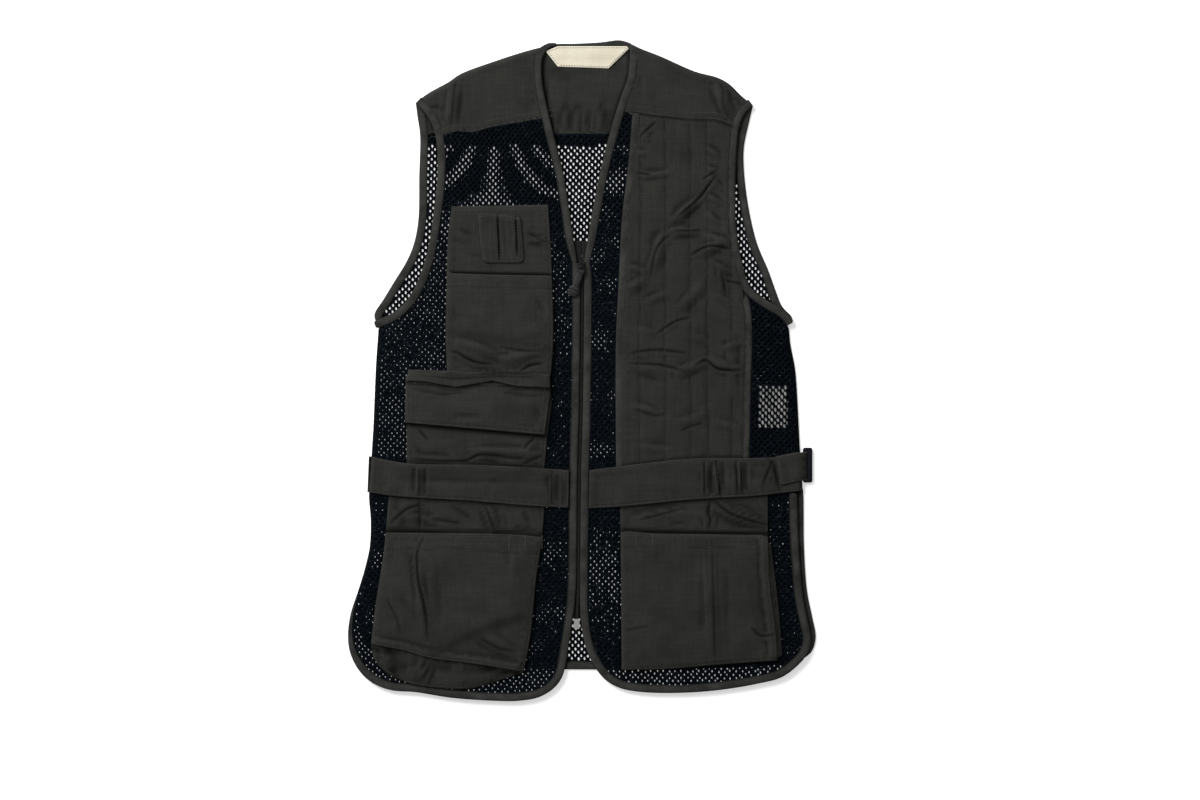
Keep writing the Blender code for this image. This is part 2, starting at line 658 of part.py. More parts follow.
def fronts(layers):
    """Yokes, mesh panels and the shooting pad, side by side, and the bindings round them."""
    width_r = hem_width(edge_r, 0)
    rims_r = [band(armhole_r), band(edge_r, width_r), band(neck_r)]
    rims_l = [band(armhole_l), band(edge_l), band(neck_l)]
    seam_r = joined([(-VEST_WIDTH, YOKE_SEAM_R[0][1])], yoke_seam_r, [(0, YOKE_SEAM_R[-1][1])])
    seam_l = joined([(0, YOKE_SEAM_L[0][1])], yoke_seam_l, [(VEST_WIDTH, YOKE_SEAM_L[-1][1])])
    under_seam_r, under_seam_l = (beyond(shifted(c, 0, GAP / 2), 0, -1) for c in (seam_r, seam_l))
    over_seam_r, over_seam_l = (beyond(shifted(c, 0, -GAP / 2), 0, 1) for c in (seam_r, seam_l))
    above = box_between(-REACH, REACH, WAIST - GAP / 2, REACH)
    below = box_between(-REACH, REACH, -REACH, WAIST + GAP / 2)
    inner = joined([PAD_INNER_HEAD], pad_inner, [PAD_INNER_FOOT])
    inner_right = beyond(beside(inner, -GAP), 1, 0)
    pad_left = beyond(beside(inner, BINDING + GAP), -1, 0)
    outer = joined([PAD_OUTER_FOOT], pad_outer, [PAD_OUTER_HEADS[0]])
    pad_right = beyond(beside(outer, BINDING + GAP), 1, 0)
    side_left = beyond(beside(joined(outer, [PAD_OUTER_HEADS[1]]), -GAP), -1, 0)
    turn_r, turn_l = (curled(fold, FRONT, 0.0, CLOTH) for fold in (fold_r, fold_l))
    top_r, top_l = (curled(fold, FRONT, 0.0, CLOTH) for fold in (shoulder_r, shoulder_l))
    level = (lambda xy: on_lay(FRONT, xy)), CLOTH
    quilted = level[0], PAD_CLOTH
    crease_r, crease_l, top_crease_r, top_crease_l = (
        [crease(fold)] for fold in (fold_r, fold_l, shoulder_r, shoulder_l)
    )
    pieces = (
        ("front_yoke_R", front_r, [*rims_r, under_seam_r], top_r, twill, top_crease_r),
        ("front_mesh_upper_R", front_r, [*rims_r, over_seam_r, below], turn_r, mesh_cloth, crease_r),
        ("front_mesh_lower_R", front_r, [*rims_r, above], turn_r, mesh_cloth, crease_r),
        ("front_yoke_L", front_l, [*rims_l, under_seam_l], top_l, twill, top_crease_l),
        ("front_mesh_centre_L", front_l, [*rims_l, over_seam_l, below, inner_right], level, mesh_cloth, ()),
        ("shooting_pad", front_l, [*rims_l, over_seam_l, below, pad_left, pad_right], quilted, twill, ()),
        ("front_mesh_side_L", front_l, [*rims_l, over_seam_l, below, side_left], turn_l, mesh_cloth, crease_l),
        ("front_mesh_lower_L", front_l, [*rims_l, above], turn_l, mesh_cloth, crease_l),
    )
    laid = []
    for name, outline, cuts, (low, thick), finish, lines in pieces:
        triangles = wall(name, outline, cuts, low, thick, finish, lines)
        laid.append((triangles, FRONT + (PAD_CLOTH if name == "shooting_pad" else CLOTH)))
    bindings = (
        ("neck_binding_R", neck_r, BINDING),
        ("neck_binding_L", neck_l, BINDING),
        ("armhole_binding_R", armhole_r, BINDING),
        ("armhole_binding_L", armhole_l, BINDING),
        ("edge_binding_R", edge_r, width_r),
        ("edge_binding_L", edge_l, BINDING),
        ("pad_binding_inner", pad_inner, BINDING),
        ("pad_binding_outer", pad_outer, BINDING),
    )
    for name, curve, width in bindings:
        laid.append((front_binding(name, curve, width), FRONT + BINDING_RISE + GAP))
    layers.raise_to(laid)


def between(ends, curve):
    """The curve with a point added at each end."""
    return joined([ends[0]], curve, [ends[1]])


def right_pockets(layers):
    """Chest pocket, flap pocket and lower pocket on the wearer's right front."""
    chest = joined(smooth(CHEST_OUTER), smooth(CHEST_INNER)[::-1])
    pouch_cut = beyond(smooth(POUCH_TOP), 0, 1)
    flap_pocket = np.array(FLAP_POCKET, float)
    bottom = smooth(POCKET_R_BOTTOM)
    lower = joined(smooth(POCKET_R_OUTER), bottom, smooth(POCKET_R_INNER))
    hidden = shifted(bottom, 0, HIDDEN_EDGE_R)
    gusset = joined(hidden[::-1], smooth(GUSSET_R_EDGE))
    hem = band(edge_r, hem_width(edge_r, 0))
    above_mouth = beyond(between(POCKET_R_TOP_ENDS, smooth(POCKET_R_TOP)), 0, 1)
    under_hidden = shifted(between(POCKET_R_BOTTOM_ENDS, bottom), 0, HIDDEN_EDGE_R + GAP)
    sew_on(
        layers,
        (
            ("chest_panel", chest, [], flat, CLOTH, twill),
            ("flap_pocket", flap_pocket, [], puffed(flap_pocket, *PUFFS["flap_pocket"]), CLOTH, twill),
            ("pocket_back_R", lower, [beyond(under_hidden, 0, -1)], flat, CLOTH, twill),
            ("pocket_gusset_R", gusset, [hem], puffed(gusset, *PUFFS["pocket_gusset_R"]), CLOTH, twill),
        ),
    )

    def flap_rise(xy):
        return FLAP_RISE * np.clip((FLAP_HINGE[0] - xy[:, 1]) / FLAP_HINGE[1], 0, 1)

    sew_on(
        layers,
        (
            ("chest_pouch", chest, [pouch_cut], puffed(chest, *PUFFS["chest_pouch"]), CLOTH, twill),
            ("loop_patch", rounded(LOOP_PATCH, 7), [], flat, CLOTH, twill),
            ("pocket_flap", np.array(FLAP, float), [], flap_rise, CLOTH, twill),
            ("lower_pocket_R", lower, [above_mouth], puffed(lower, *PUFFS["lower_pocket_R"]), CLOTH, twill),
        ),
    )
    sew_on(layers, (("flap_strip", np.array(FLAP_STRIP, float), [], flat, CLOTH, twill),))


def left_pocket(layers):
    """Lower pocket on the wearer's left front."""
    outer, bottom, inner = smooth(POCKET_L_OUTER), smooth(POCKET_L_BOTTOM), smooth(POCKET_L_INNER)
    lower = joined(inner, bottom, outer)
    below_mouth = outer[:-5]  # the outer side as high as the gusset
    hidden = shifted(below_mouth, -HIDDEN_EDGE_L, 0)
    gusset = joined(hidden[::-1], smooth(GUSSET_L_EDGE))
    right_of_hidden = shifted(between(POCKET_L_OUTER_ENDS, below_mouth), -HIDDEN_EDGE_L - GAP, GAP)
    above_mouth = beyond(between(POCKET_L_TOP_ENDS, smooth(POCKET_L_TOP)), 0, 1)
    sew_on(
        layers,
        (
            ("pocket_back_L", lower, [beyond(right_of_hidden, 1, 0)], flat, CLOTH, twill),
            ("pocket_gusset_L", gusset, [], puffed(gusset, *PUFFS["pocket_gusset_L"]), CLOTH, twill),
        ),
    )
    pocket = ("lower_pocket_L", lower, [above_mouth], puffed(lower, *PUFFS["lower_pocket_L"]), CLOTH, twill)
    sew_on(layers, (pocket,))


def belt(layers):
    """The two front strips of the belt. Each goes over the side's fold with the front."""
    strips = (
        ("belt_R", BELT_R_TOP, BELT_R_BOTTOM, PLEATS_R, fold_r),
        ("belt_L", BELT_L_TOP, BELT_L_BOTTOM, PLEATS_L, fold_l),
    )
    laid = []
    for name, top, bottom, pleats, fold in strips:
        outline = joined(smooth(top), smooth(bottom))
        over = layers.top + GAP
        turn, thick = curled(fold, over, CLOTH + CURL_WALL + GAP, CLOTH)

        def low(xy, turn=turn, pleats=pleats):
            return turn(xy) + fold_height(pleats, xy)

        lines = [fold, crease(fold), *fold_lines(pleats)]
        triangles = wall(name, outline, [], low, thick, twill, lines)
        laid.append((triangles, over + fold_height(pleats, LAY) + CLOTH))
    layers.raise_to(laid)


def strap_and_buckle(layers):
    """The adjusting strap: on the belt, then down over the buckle's inner bar and into its slot."""
    over = layers.top + GAP

    def low(xy):
        x = np.array([b[0] for b in STRAP_BENDS])
        start = on_lay(over, np.column_stack([np.full(len(xy), x[0]), xy[:, 1]]))
        made = on_lay(over, xy)
        for i, (x0, x1) in enumerate(zip(x[:-1], x[1:], strict=True)):
            z0 = start if i == 0 else STRAP_BENDS[i][1]
            share = (xy[:, 0] - x0) / (x1 - x0)
            made = np.where(xy[:, 0] > x0, z0 + (STRAP_BENDS[i + 1][1] - z0) * share, made)
        return made

    across = (-80.0, -140.0)  # past both edges of the strap
    lines = [np.array([(b[0], y) for y in across]) for b in STRAP_BENDS[:-1]]
    wall("side_strap", np.array(STRAP, float), [], low, CLOTH, twill, lines)
    frame, slot = rounded(BUCKLE, BUCKLE_CORNER), box_between(*BUCKLE_SLOT)
    wall("buckle", frame, [slot], flat, BUCKLE_HIGH, buckle_plastic, (), False)


def zip_parts():
    """Two tapes under the front edges, the chain of teeth between them, and the box at the bottom."""
    box_low = FRONT_LIFT - BINDING_DROP
    tape_low = box_low - GAP - TAPE_CLOTH

    def on_tape(xy):
        return flat(xy) + tape_low

    def on_box(xy):
        return flat(xy) + box_low

    for name, side in (("zip_tape_R", -1), ("zip_tape_L", 1)):
        outline = joined(beside(zip_line, side * GAP), beside(zip_line, side * TAPE)[::-1])
        wall(name, outline, [], on_tape, TAPE_CLOTH, zip_cloth, (), False)
    middle = on_lay(FRONT, zip_line)
    chain = beside(zip_line, -CHAIN / 2)
    bar("zip_chain", chain, CHAIN, middle - BINDING_DROP, middle + BINDING_RISE - 0.2, zip_plastic, 0.8)
    wall("zip_bottom_box", rounded(ZIP_BOX, 0.8), [], on_box, ZIP_BOX_HIGH, box_metal, (), False)


SLIDER_X, SLIDER_Y = -0.8, 120.5
PLATE_LOW = FRONT_LIFT + BINDING_RISE + GAP
PLATE = 1.8
ARCH_ROOM = 3.2  # free height under the slider's arch
AXIS_Z = PLATE_LOW + PLATE + ARCH_ROOM / 2
PULL_SLOPE = 0.072  # how far the resting pull drops for each millimetre of its length
PULL_TURN = math.radians(14)  # the pull's body points this far towards the wearer's right
PULL_THICK = 1.8
SLIDER_PLAN = ((-4.3, -5.5), (4.3, -5.5), (3.2, 6.0), (-3.2, 6.0))
# half width of the pull at each distance from its axis
PULL_STATIONS = ((6.6, 2.0), (9.5, 1.9), (11.5, 2.9), (24.0, 2.6), (26.0, 4.6), (28.0, 6.0), (33.5, 5.8),
                 (35.4, 4.4))
PULL_EYE = ((-3.0, -5.6), (-3.0, 0.4), (-2.5, 0.9), (2.5, 0.9), (3.0, 0.4), (3.0, -5.6))
PULL_BEND = 6.0  # the pull points straight down as far as this, then turns aside
PULL_HOLE = -1.7, 1.7, -4.7, -0.9  # from the axis: low and high x, low and high y


def slider():
    """The slider's plate with the arch that holds the pull."""
    plan = rounded(SLIDER_PLAN, 1.6) + (SLIDER_X, SLIDER_Y)

    def on_binding(xy):
        return flat(xy) + PLATE_LOW

    wall("zip_slider", plan, [], on_binding, PLATE, zip_metal, (), False)
    body = bpy.data.objects["zip_slider"]
    floor, roof, crown = PLATE_LOW + PLATE, AXIS_Z + ARCH_ROOM / 2, AXIS_Z + ARCH_ROOM / 2 + 0.9
    root = floor - 0.5  # the arch's feet reach this low into the plate
    profile = ((-3.4, root), (-3.4, roof - 0.4), (-2.6, crown), (2.6, crown), (3.4, roof - 0.4),
               (3.4, root), (2.3, root), (2.3, roof), (-2.3, roof), (-2.3, root))
    count = len(profile)
    points = np.array([(SLIDER_X + x, SLIDER_Y + y, z) for x in (-1.1, 1.1) for y, z in profile])
    faces = [tuple(range(count)), tuple(range(count, 2 * count))[::-1]]
    faces += [(i, i + count, (i + 1) % count + count, (i + 1) % count) for i in range(count)]
    arch = solid("slider_arch_shape", points, faces, zip_metal)
    arch.hide_render = True
    arch.display_type = "WIRE"
    union = body.modifiers.new("arch", "BOOLEAN")
    union.operation = "UNION"
    union.object = arch


def pull():
    """The pull tab: an eye round the arch, a neck and a moulded body that ends in a knob."""

    def place(across, along):
        turn = PULL_TURN if along > PULL_BEND else 0.0
        reach = max(along - PULL_BEND, 0.0)
        x = across * math.cos(turn) - reach * math.sin(turn)
        y = -min(along, PULL_BEND) - reach * math.cos(turn) - across * math.sin(turn)
        return SLIDER_X + x, SLIDER_Y + y

    right = [place(half, far) for far, half in PULL_STATIONS]
    left = [place(-half, far) for far, half in PULL_STATIONS[::-1]]
    outline = np.array([*[(SLIDER_X + x, SLIDER_Y + y) for x, y in PULL_EYE], *right, *left])
    hole = box_between(*PULL_HOLE) + (SLIDER_X, SLIDER_Y)

    def low(xy):
        return AXIS_Z - PULL_THICK / 2 - PULL_SLOPE * (SLIDER_Y - xy[:, 1])

    wall("zip_pull", outline, [hole], low, PULL_THICK, pull_rubber, (), False)
    tab = bpy.data.objects["zip_pull"]
    axis = Vector((SLIDER_X * MM, SLIDER_Y * MM, AXIS_Z * MM))
    for vertex in tab.data.vertices:
        vertex.co -= axis
    tab.location = axis


layers = Layers(FRONT + CLOTH)
back_panels()
back_bindings()
labels()
zip_parts()
fronts(layers)
right_pockets(layers)
left_pocket(layers)
belt(layers)
strap_and_buckle(layers)
slider()
pull()
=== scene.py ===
import math

import bpy
import numpy as np
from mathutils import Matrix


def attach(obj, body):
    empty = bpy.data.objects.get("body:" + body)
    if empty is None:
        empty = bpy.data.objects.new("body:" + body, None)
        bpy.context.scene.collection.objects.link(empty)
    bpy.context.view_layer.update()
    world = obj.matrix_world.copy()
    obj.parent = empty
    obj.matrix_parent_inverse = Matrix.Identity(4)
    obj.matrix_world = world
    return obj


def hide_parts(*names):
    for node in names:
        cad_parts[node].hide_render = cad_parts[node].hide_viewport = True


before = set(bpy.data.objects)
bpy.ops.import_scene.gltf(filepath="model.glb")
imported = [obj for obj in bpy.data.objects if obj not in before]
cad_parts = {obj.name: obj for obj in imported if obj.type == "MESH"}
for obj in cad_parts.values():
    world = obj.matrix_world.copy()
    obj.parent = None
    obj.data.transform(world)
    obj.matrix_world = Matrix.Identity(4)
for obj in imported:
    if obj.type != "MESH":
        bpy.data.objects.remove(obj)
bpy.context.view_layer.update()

mm = 0.001
rng = np.random.default_rng(7)

view = {"x": 20.8, "y": -34.0, "frameWidth": 1386.0, "lens": 85.0, "sensor": 36.0, "clip": (0.1, 30.0)}
light = {"sky": 0.40, "key": 225.0, "keyPlace": (-2.1, 2.4, 1.9), "keySize": 2.2, "floorGlow": 0.38}

lay = {
    "front": 3.6,  # underside of the front above the table
    "air": 0.55,  # half the height of its slow waves
    "curl": 3.6,  # width over which the front turns down at a side
    "inset": 1.7,  # the back ends this far inside that edge
    "gap": 0.3,  # between layers
    "cloth": 1.2,
    "crease": 1.7,  # small creases are this many times their tabled height
    "pinch": 0.9,  # depth of a pressed crease
    "padCloth": 2.0,
    "net": 0.85,
    "tuck": 5.0,  # panels end this far from the outer edge of a binding
    "lap": 3.0,  # a net goes this far under its neighbour
    "waist": -128.0,
    "backYokeSeam": 273.0,
    "backBelt": (-149.0, -103.0),
}

# Finished edges, each listed as x, y
edges = {
    "shoulderR": ((-43, 374), (-60, 370), (-95, 359), (-141, 342), (-154, 333), (-176, 321), (-193, 309)),
    "shoulderL": ((57, 377), (67, 372), (90, 363), (131, 345), (157, 338), (171, 330), (184, 317),
        (198, 306)),
    "backNeck": ((57, 377.5), (45, 381.5), (21, 379), (-8, 377.5), (-30, 377), (-43, 374)),
    "neckR": ((-43, 369), (-46, 358), (-46, 336), (-42, 312), (-31, 266), (-21, 226), (-13, 174),
        (-8.5, 144), (-5.4, 124.6)),
    "neckL": ((56, 373), (55, 356), (53, 338), (45, 316), (31, 270), (20, 225), (10, 172), (5.2, 144),
        (2.4, 124.6)),
    "armholeR": ((-192, 308), (-181, 297), (-171, 279), (-167, 255), (-167, 220), (-170, 191), (-178, 139),
        (-190, 102), (-203, 80), (-219, 66), (-231, 60.5), (-240.5, 57)),
    "armholeL": ((197.5, 305), (189, 298), (182, 283), (178, 250), (177, 205), (178, 165), (186, 120),
        (193, 98), (202, 89), (217, 79), (231, 71), (239.5, 64), (244.5, 56)),
    "backArmholeR": ((-192, 309), (-190, 293), (-187, 272), (-188, 225), (-189, 174), (-194, 147),
        (-202, 127), (-216, 104), (-230, 81), (-240, 65), (-239, 57)),
    "backArmholeL": ((197.5, 306), (193, 287), (187, 258), (187, 232), (192, 190), (202, 147), (215, 116),
        (224, 91), (231, 74), (243, 61), (243, 55)),
    "sideR": ((-235, 48), (-238, 5), (-241, -65), (-243, -98), (-246, -145), (-244, -172), (-245, -203),
        (-249, -222), (-254, -240), (-260, -259)),
    "sideL": ((239, 48), (241, 29), (246, 3), (248, -20), (250, -57), (252, -98), (253.5, -141)),
    "edgeR": ((-2, 124), (-2, 50), (-3.5, -57), (-5, -110), (-6, -196), (-6.5, -245), (-9, -275),
        (-13, -303), (-18, -335), (-23, -354), (-33, -367), (-50, -377), (-74, -381.1), (-98, -381.1),
        (-150, -377.6), (-192, -371), (-219, -369), (-237, -363), (-250, -354), (-260, -342), (-268, -324),
        (-270, -305), (-267, -281), (-260, -259)),
    "edgeL": ((2, 124), (2, 50), (0.5, -57), (-1, -110), (-2, -196), (-2.5, -250), (-1.5, -285), (3, -315),
        (12, -337), (26, -356), (43, -366), (65, -370.5), (105, -372), (155, -369), (204, -361), (230, -354),
        (248, -341), (259, -328), (264, -312), (261, -292), (255, -262), (250, -203), (248, -141)),
    "backHem": ((-256, -264), (-260, -285), (-255, -307), (-240, -323), (-215, -333), (-150, -341),
        (-60, -344.5), (60, -345), (150, -344), (215, -341), (250, -335), (265, -325), (270, -308),
        (266, -285), (260, -255), (256.5, -205), (255.8, -146), (255.2, -136)),
    "yokeSeamR": ((-174, 267), (-159, 270), (-146, 275), (-124, 275), (-106, 280), (-72, 286), (-30, 293)),
    "yokeSeamL": ((30, 296), (58, 298), (79, 295), (125, 290), (154, 289), (170, 284), (190, 279)),
    "padInner": ((58, 297), (55, 255), (51, 220), (46, 176), (42, 100), (39, 35), (39, -112)),
    "padOuter": ((189, 92), (192, 84), (195, 70), (196.5, 40), (195, -20), (193, -112)),
    "zip": ((0, 124), (0, 50), (-1.5, -57), (-3, -110), (-4, -196), (-4.5, -248), (-5.6, -286)),
}

# Largest folds of the front: x, y of both ends, height, width
bigFolds = (
    (-148, 328, -152, 284, 2.0, 22), (154, 333, 171, 291, 2.8, 22), (107, 172, 134, 198, 2.4, 18),
    (80, 112, 96, 156, 2.8, 22), (100, 159, 136, 160, 1.8, 16), (134, 134, 168, 151, 2.2, 18),
    (160, 126, 160, 86, 1.6, 16), (50, 92, 76, 107, 2.0, 18), (108, 66, 142, 102, 2.2, 20),
    (50, 8, 104, -6, 2.4, 20), (104, -6, 144, 12, 2.6, 20), (144, 12, 188, -2, 2.6, 20),
    (172, 50, 172, -36, 1.8, 18), (-148, 30, -98, 14, 2.0, 18), (-98, 14, -42, 22, 2.0, 18),
    (-128, -92, -46, -98, 2.2, 16), (-208, -152, -192, -180, 2.0, 16), (-108, -158, -94, -188, 2.0, 16),
    (-182, -196, -178, -304, 2.6, 20), (151, -206, 152, -330, 2.6, 20), (58, -180, 122, -166, 2.2, 18),
    (156, -157, 210, -178, 2.4, 16),
)

# Pressed creases, crisp and with painted shade along each: the points that each runs through, and how strong
# it is
pressed = {
    "chest": ((((-64, 161), (-52, 153), (-40, 148)), 0.7),),
    "patch": ((((-97, 183), (-96, 152), (-94.7, 124)), 1.3), (((-76.2, 181), (-75.3, 155),
        (-74.5, 130)), 1.3)),
    "yokeR": ((((-145, 337), (-147.5, 318), (-151, 279)), 0.55), (((-181, 300), (-172, 304),
        (-163, 303)), 0.4)),
    "yokeL": ((((155, 338), (163, 322), (162.5, 308), (170, 289)), 0.6), (((184, 308), (190, 296),
        (187, 288)), 0.5)),
    "pouch": ((((-153, 22.5), (-145.6, 21.4), (-124.7, 10.2), (-99.4, 6.9)), 1.0), (((-72, -1), (-57, 6.5),
        (-44.4, 7.2)), 0.9), (((-97, 27.7), (-69.4, 22.6), (-42, 22.6)), 0.7)),
    "strip": ((((-199.5, -1), (-129.4, -4.9), (-84.3, -3.6), (-39.4, -7.3)), 0.8), (((-199, -4),
        (-150, -8.5), (-84, -7), (-39.4, -11)), 0.6)),
    "flap": ((((-198, -21), (-160, -27), (-128, -24)), 0.4), (((-92, -24), (-60, -29), (-40, -27)), 0.4)),
    "flapPocket": ((((-189.4, -66), (-177, -81)), 0.8), (((-52, -74.8), (-68.2, -91)), 0.8),
        (((-200.7, -102.3), (-131.9, -103.6), (-119.4, -97.4), (-69.4, -102.3)), 0.9), (((-69.4, -108.6),
        (-44.4, -97.4)), 0.7)),
    "beltR": ((((-186.5, -111), (-187, -128), (-187.5, -145)), 1.0), (((-34, -115), (-34.4, -135),
        (-34, -154)), 1.0), (((-22, -117), (-22.6, -136), (-22.4, -154)), 0.9)),
    "beltL": ((((141, -103), (141.2, -125), (141.4, -146)), 1.0), (((154.6, -103), (157, -124),
        (159.6, -145)), 1.2), (((177.2, -103), (178.2, -124), (179, -144)), 1.0), (((183.4, -103),
        (184, -124), (184.6, -144)), 0.6), (((208, -134), (212.6, -121.6), (220, -104)), 0.8), (((214, -100),
        (221.5, -110), (224.4, -124.5), (227.4, -136)), 1.0)),
    "backR": ((((-221.4, -176.7), (-199.7, -158.3), (-179.6, -155)), 0.9), (((-188, -148.3),
        (-186.3, -186.6)), 0.8), (((-112.8, -153.3), (-99.6, -186.6)), 0.9), (((-176.3, -170),
        (-139.5, -176.7)), 0.7)),
    "pocketR": ((((-181, -189), (-189, -209), (-188, -243.6), (-182.7, -264), (-179.4, -282),
        (-177.6, -313)), 1.0), (((-226, -262), (-214, -284), (-208, -306)), 0.5), (((-120, -306),
        (-96, -320), (-74, -324)), 0.5)),
    "gussetR": ((((-231.3, -328.6), (-204.7, -365.3)), 0.9), (((-184.8, -332), (-174.6, -362)), 0.9)),
    "backL": ((((151, -148), (157, -154.5), (171, -164.5), (200, -174.5), (214, -177.7)), 1.2),
        (((64, -172.7), (119, -158)), 0.8), (((147.4, -149), (145.6, -163), (148, -172),
        (144.5, -184)), 1.0)),
    "pocketL": ((((149.5, -188), (150.2, -224.6), (151.4, -268), (152.7, -305.5), (154, -338)), 0.5),
        (((143.4, -192), (144.6, -240), (147, -290)), 0.3), (((194, -294), (205.6, -305.5),
        (223, -304)), 0.8), (((49.7, -300), (78.5, -294)), 0.5)),
    "pad": ((((66, 269), (85.6, 287)), 0.8), (((62, 228), (79.7, 226)), 0.8), (((138.6, 220),
        (158, 232)), 0.8), (((109, 177), (134.7, 198.5), (156.3, 228)), 1.0), (((79.7, 108), (85.6, 139.5),
        (101.3, 157)), 0.8), (((105, 161), (138.6, 161)), 0.8), (((123, 131.7), (146.5, 143.5),
        (172, 139.5)), 1.0), (((160, 116), (166, 88.5)), 0.8), (((164, 104), (190, 98)), 0.8),
        (((85.6, 41.3), (109, 57), (126.8, 61)), 0.8), (((54, 19.7), (85.6, 23.7), (123, 19.7)), 0.8),
        (((50, 8), (91.5, 6), (123, -1.9)), 0.8), (((128.8, 4), (142.5, 11.9), (156.3, 2.1),
        (185.8, 0)), 1.0), (((60, -44), (84, -52), (98, -50)), 0.6), (((112, -70), (140, -60)), 0.6)),
}

# Soft shade where a piece goes under another or sinks: points, half width, strength
shade = {
    "chest": ((((-154, 113), (-96, 111.5), (-36, 110.5)), 2.4, 1.0),),
    "pouch": ((((-153, 44), (-96, 36), (-39, 25)), 6.0, 0.30),),
    "flap": ((((-202, -14), (-180, -15), (-145, -21), (-103, -14), (-76, -20), (-37, -22)), 2.4, 0.85),),
    "flapPocket": ((((-204, -62), (-124, -69), (-43, -76)), 3.2, 0.85), (((-202, -105.5), (-120, -107.5),
        (-44, -111.5)), 2.6, 0.7)),
    "backR": ((((-228, -185), (-83, -187), (-46, -190)), 3.6, 1.0), (((-44, -158.5), (-133, -151.5),
        (-184, -148.5), (-223, -145.5)), 2.8, 0.7)),
    "pocketR": ((((-176, -328.6), (-123, -302), (-69.5, -283.5)), 5.5, 0.42),),
    "beltL": ((((141, -104), (141.4, -146)), 1.8, 0.45), (((154.6, -104), (157, -124),
        (159.6, -145)), 2.0, 0.65), (((177.2, -104), (179, -143)), 1.2, 0.6), (((208, -134), (212.6, -121.6),
        (220, -104)), 3.2, 0.4), (((214, -100), (221.5, -110), (224.4, -124.5), (227.4, -136)), 3.4, 0.55)),
    "gussetR": ((((-241, -320.5), (-181, -332.5), (-135, -341), (-75, -348.5)), 2.8, 0.95),),
    "backL": ((((46, -183), (82, -186), (147, -187), (214, -188)), 2.8, 1.0), (((151, -148), (157, -154.5),
        (171, -164.5), (200, -174.5), (214, -177.7)), 1.8, 0.7), (((147.4, -149), (145.6, -163), (148, -172),
        (144.5, -184)), 1.6, 0.4), (((44, -158.5), (113, -151.5), (155, -148.5), (194, -146.5),
        (214, -144)), 2.8, 0.7)),
    "pad": ((((46, -110), (109, -102), (141, -100), (187, -100)), 2.6, 0.7), (((60, 296.5), (79, 293.5),
        (125, 288.5), (154, 287.5), (170, 282.5), (186, 277)), 1.6, 0.7)),
}

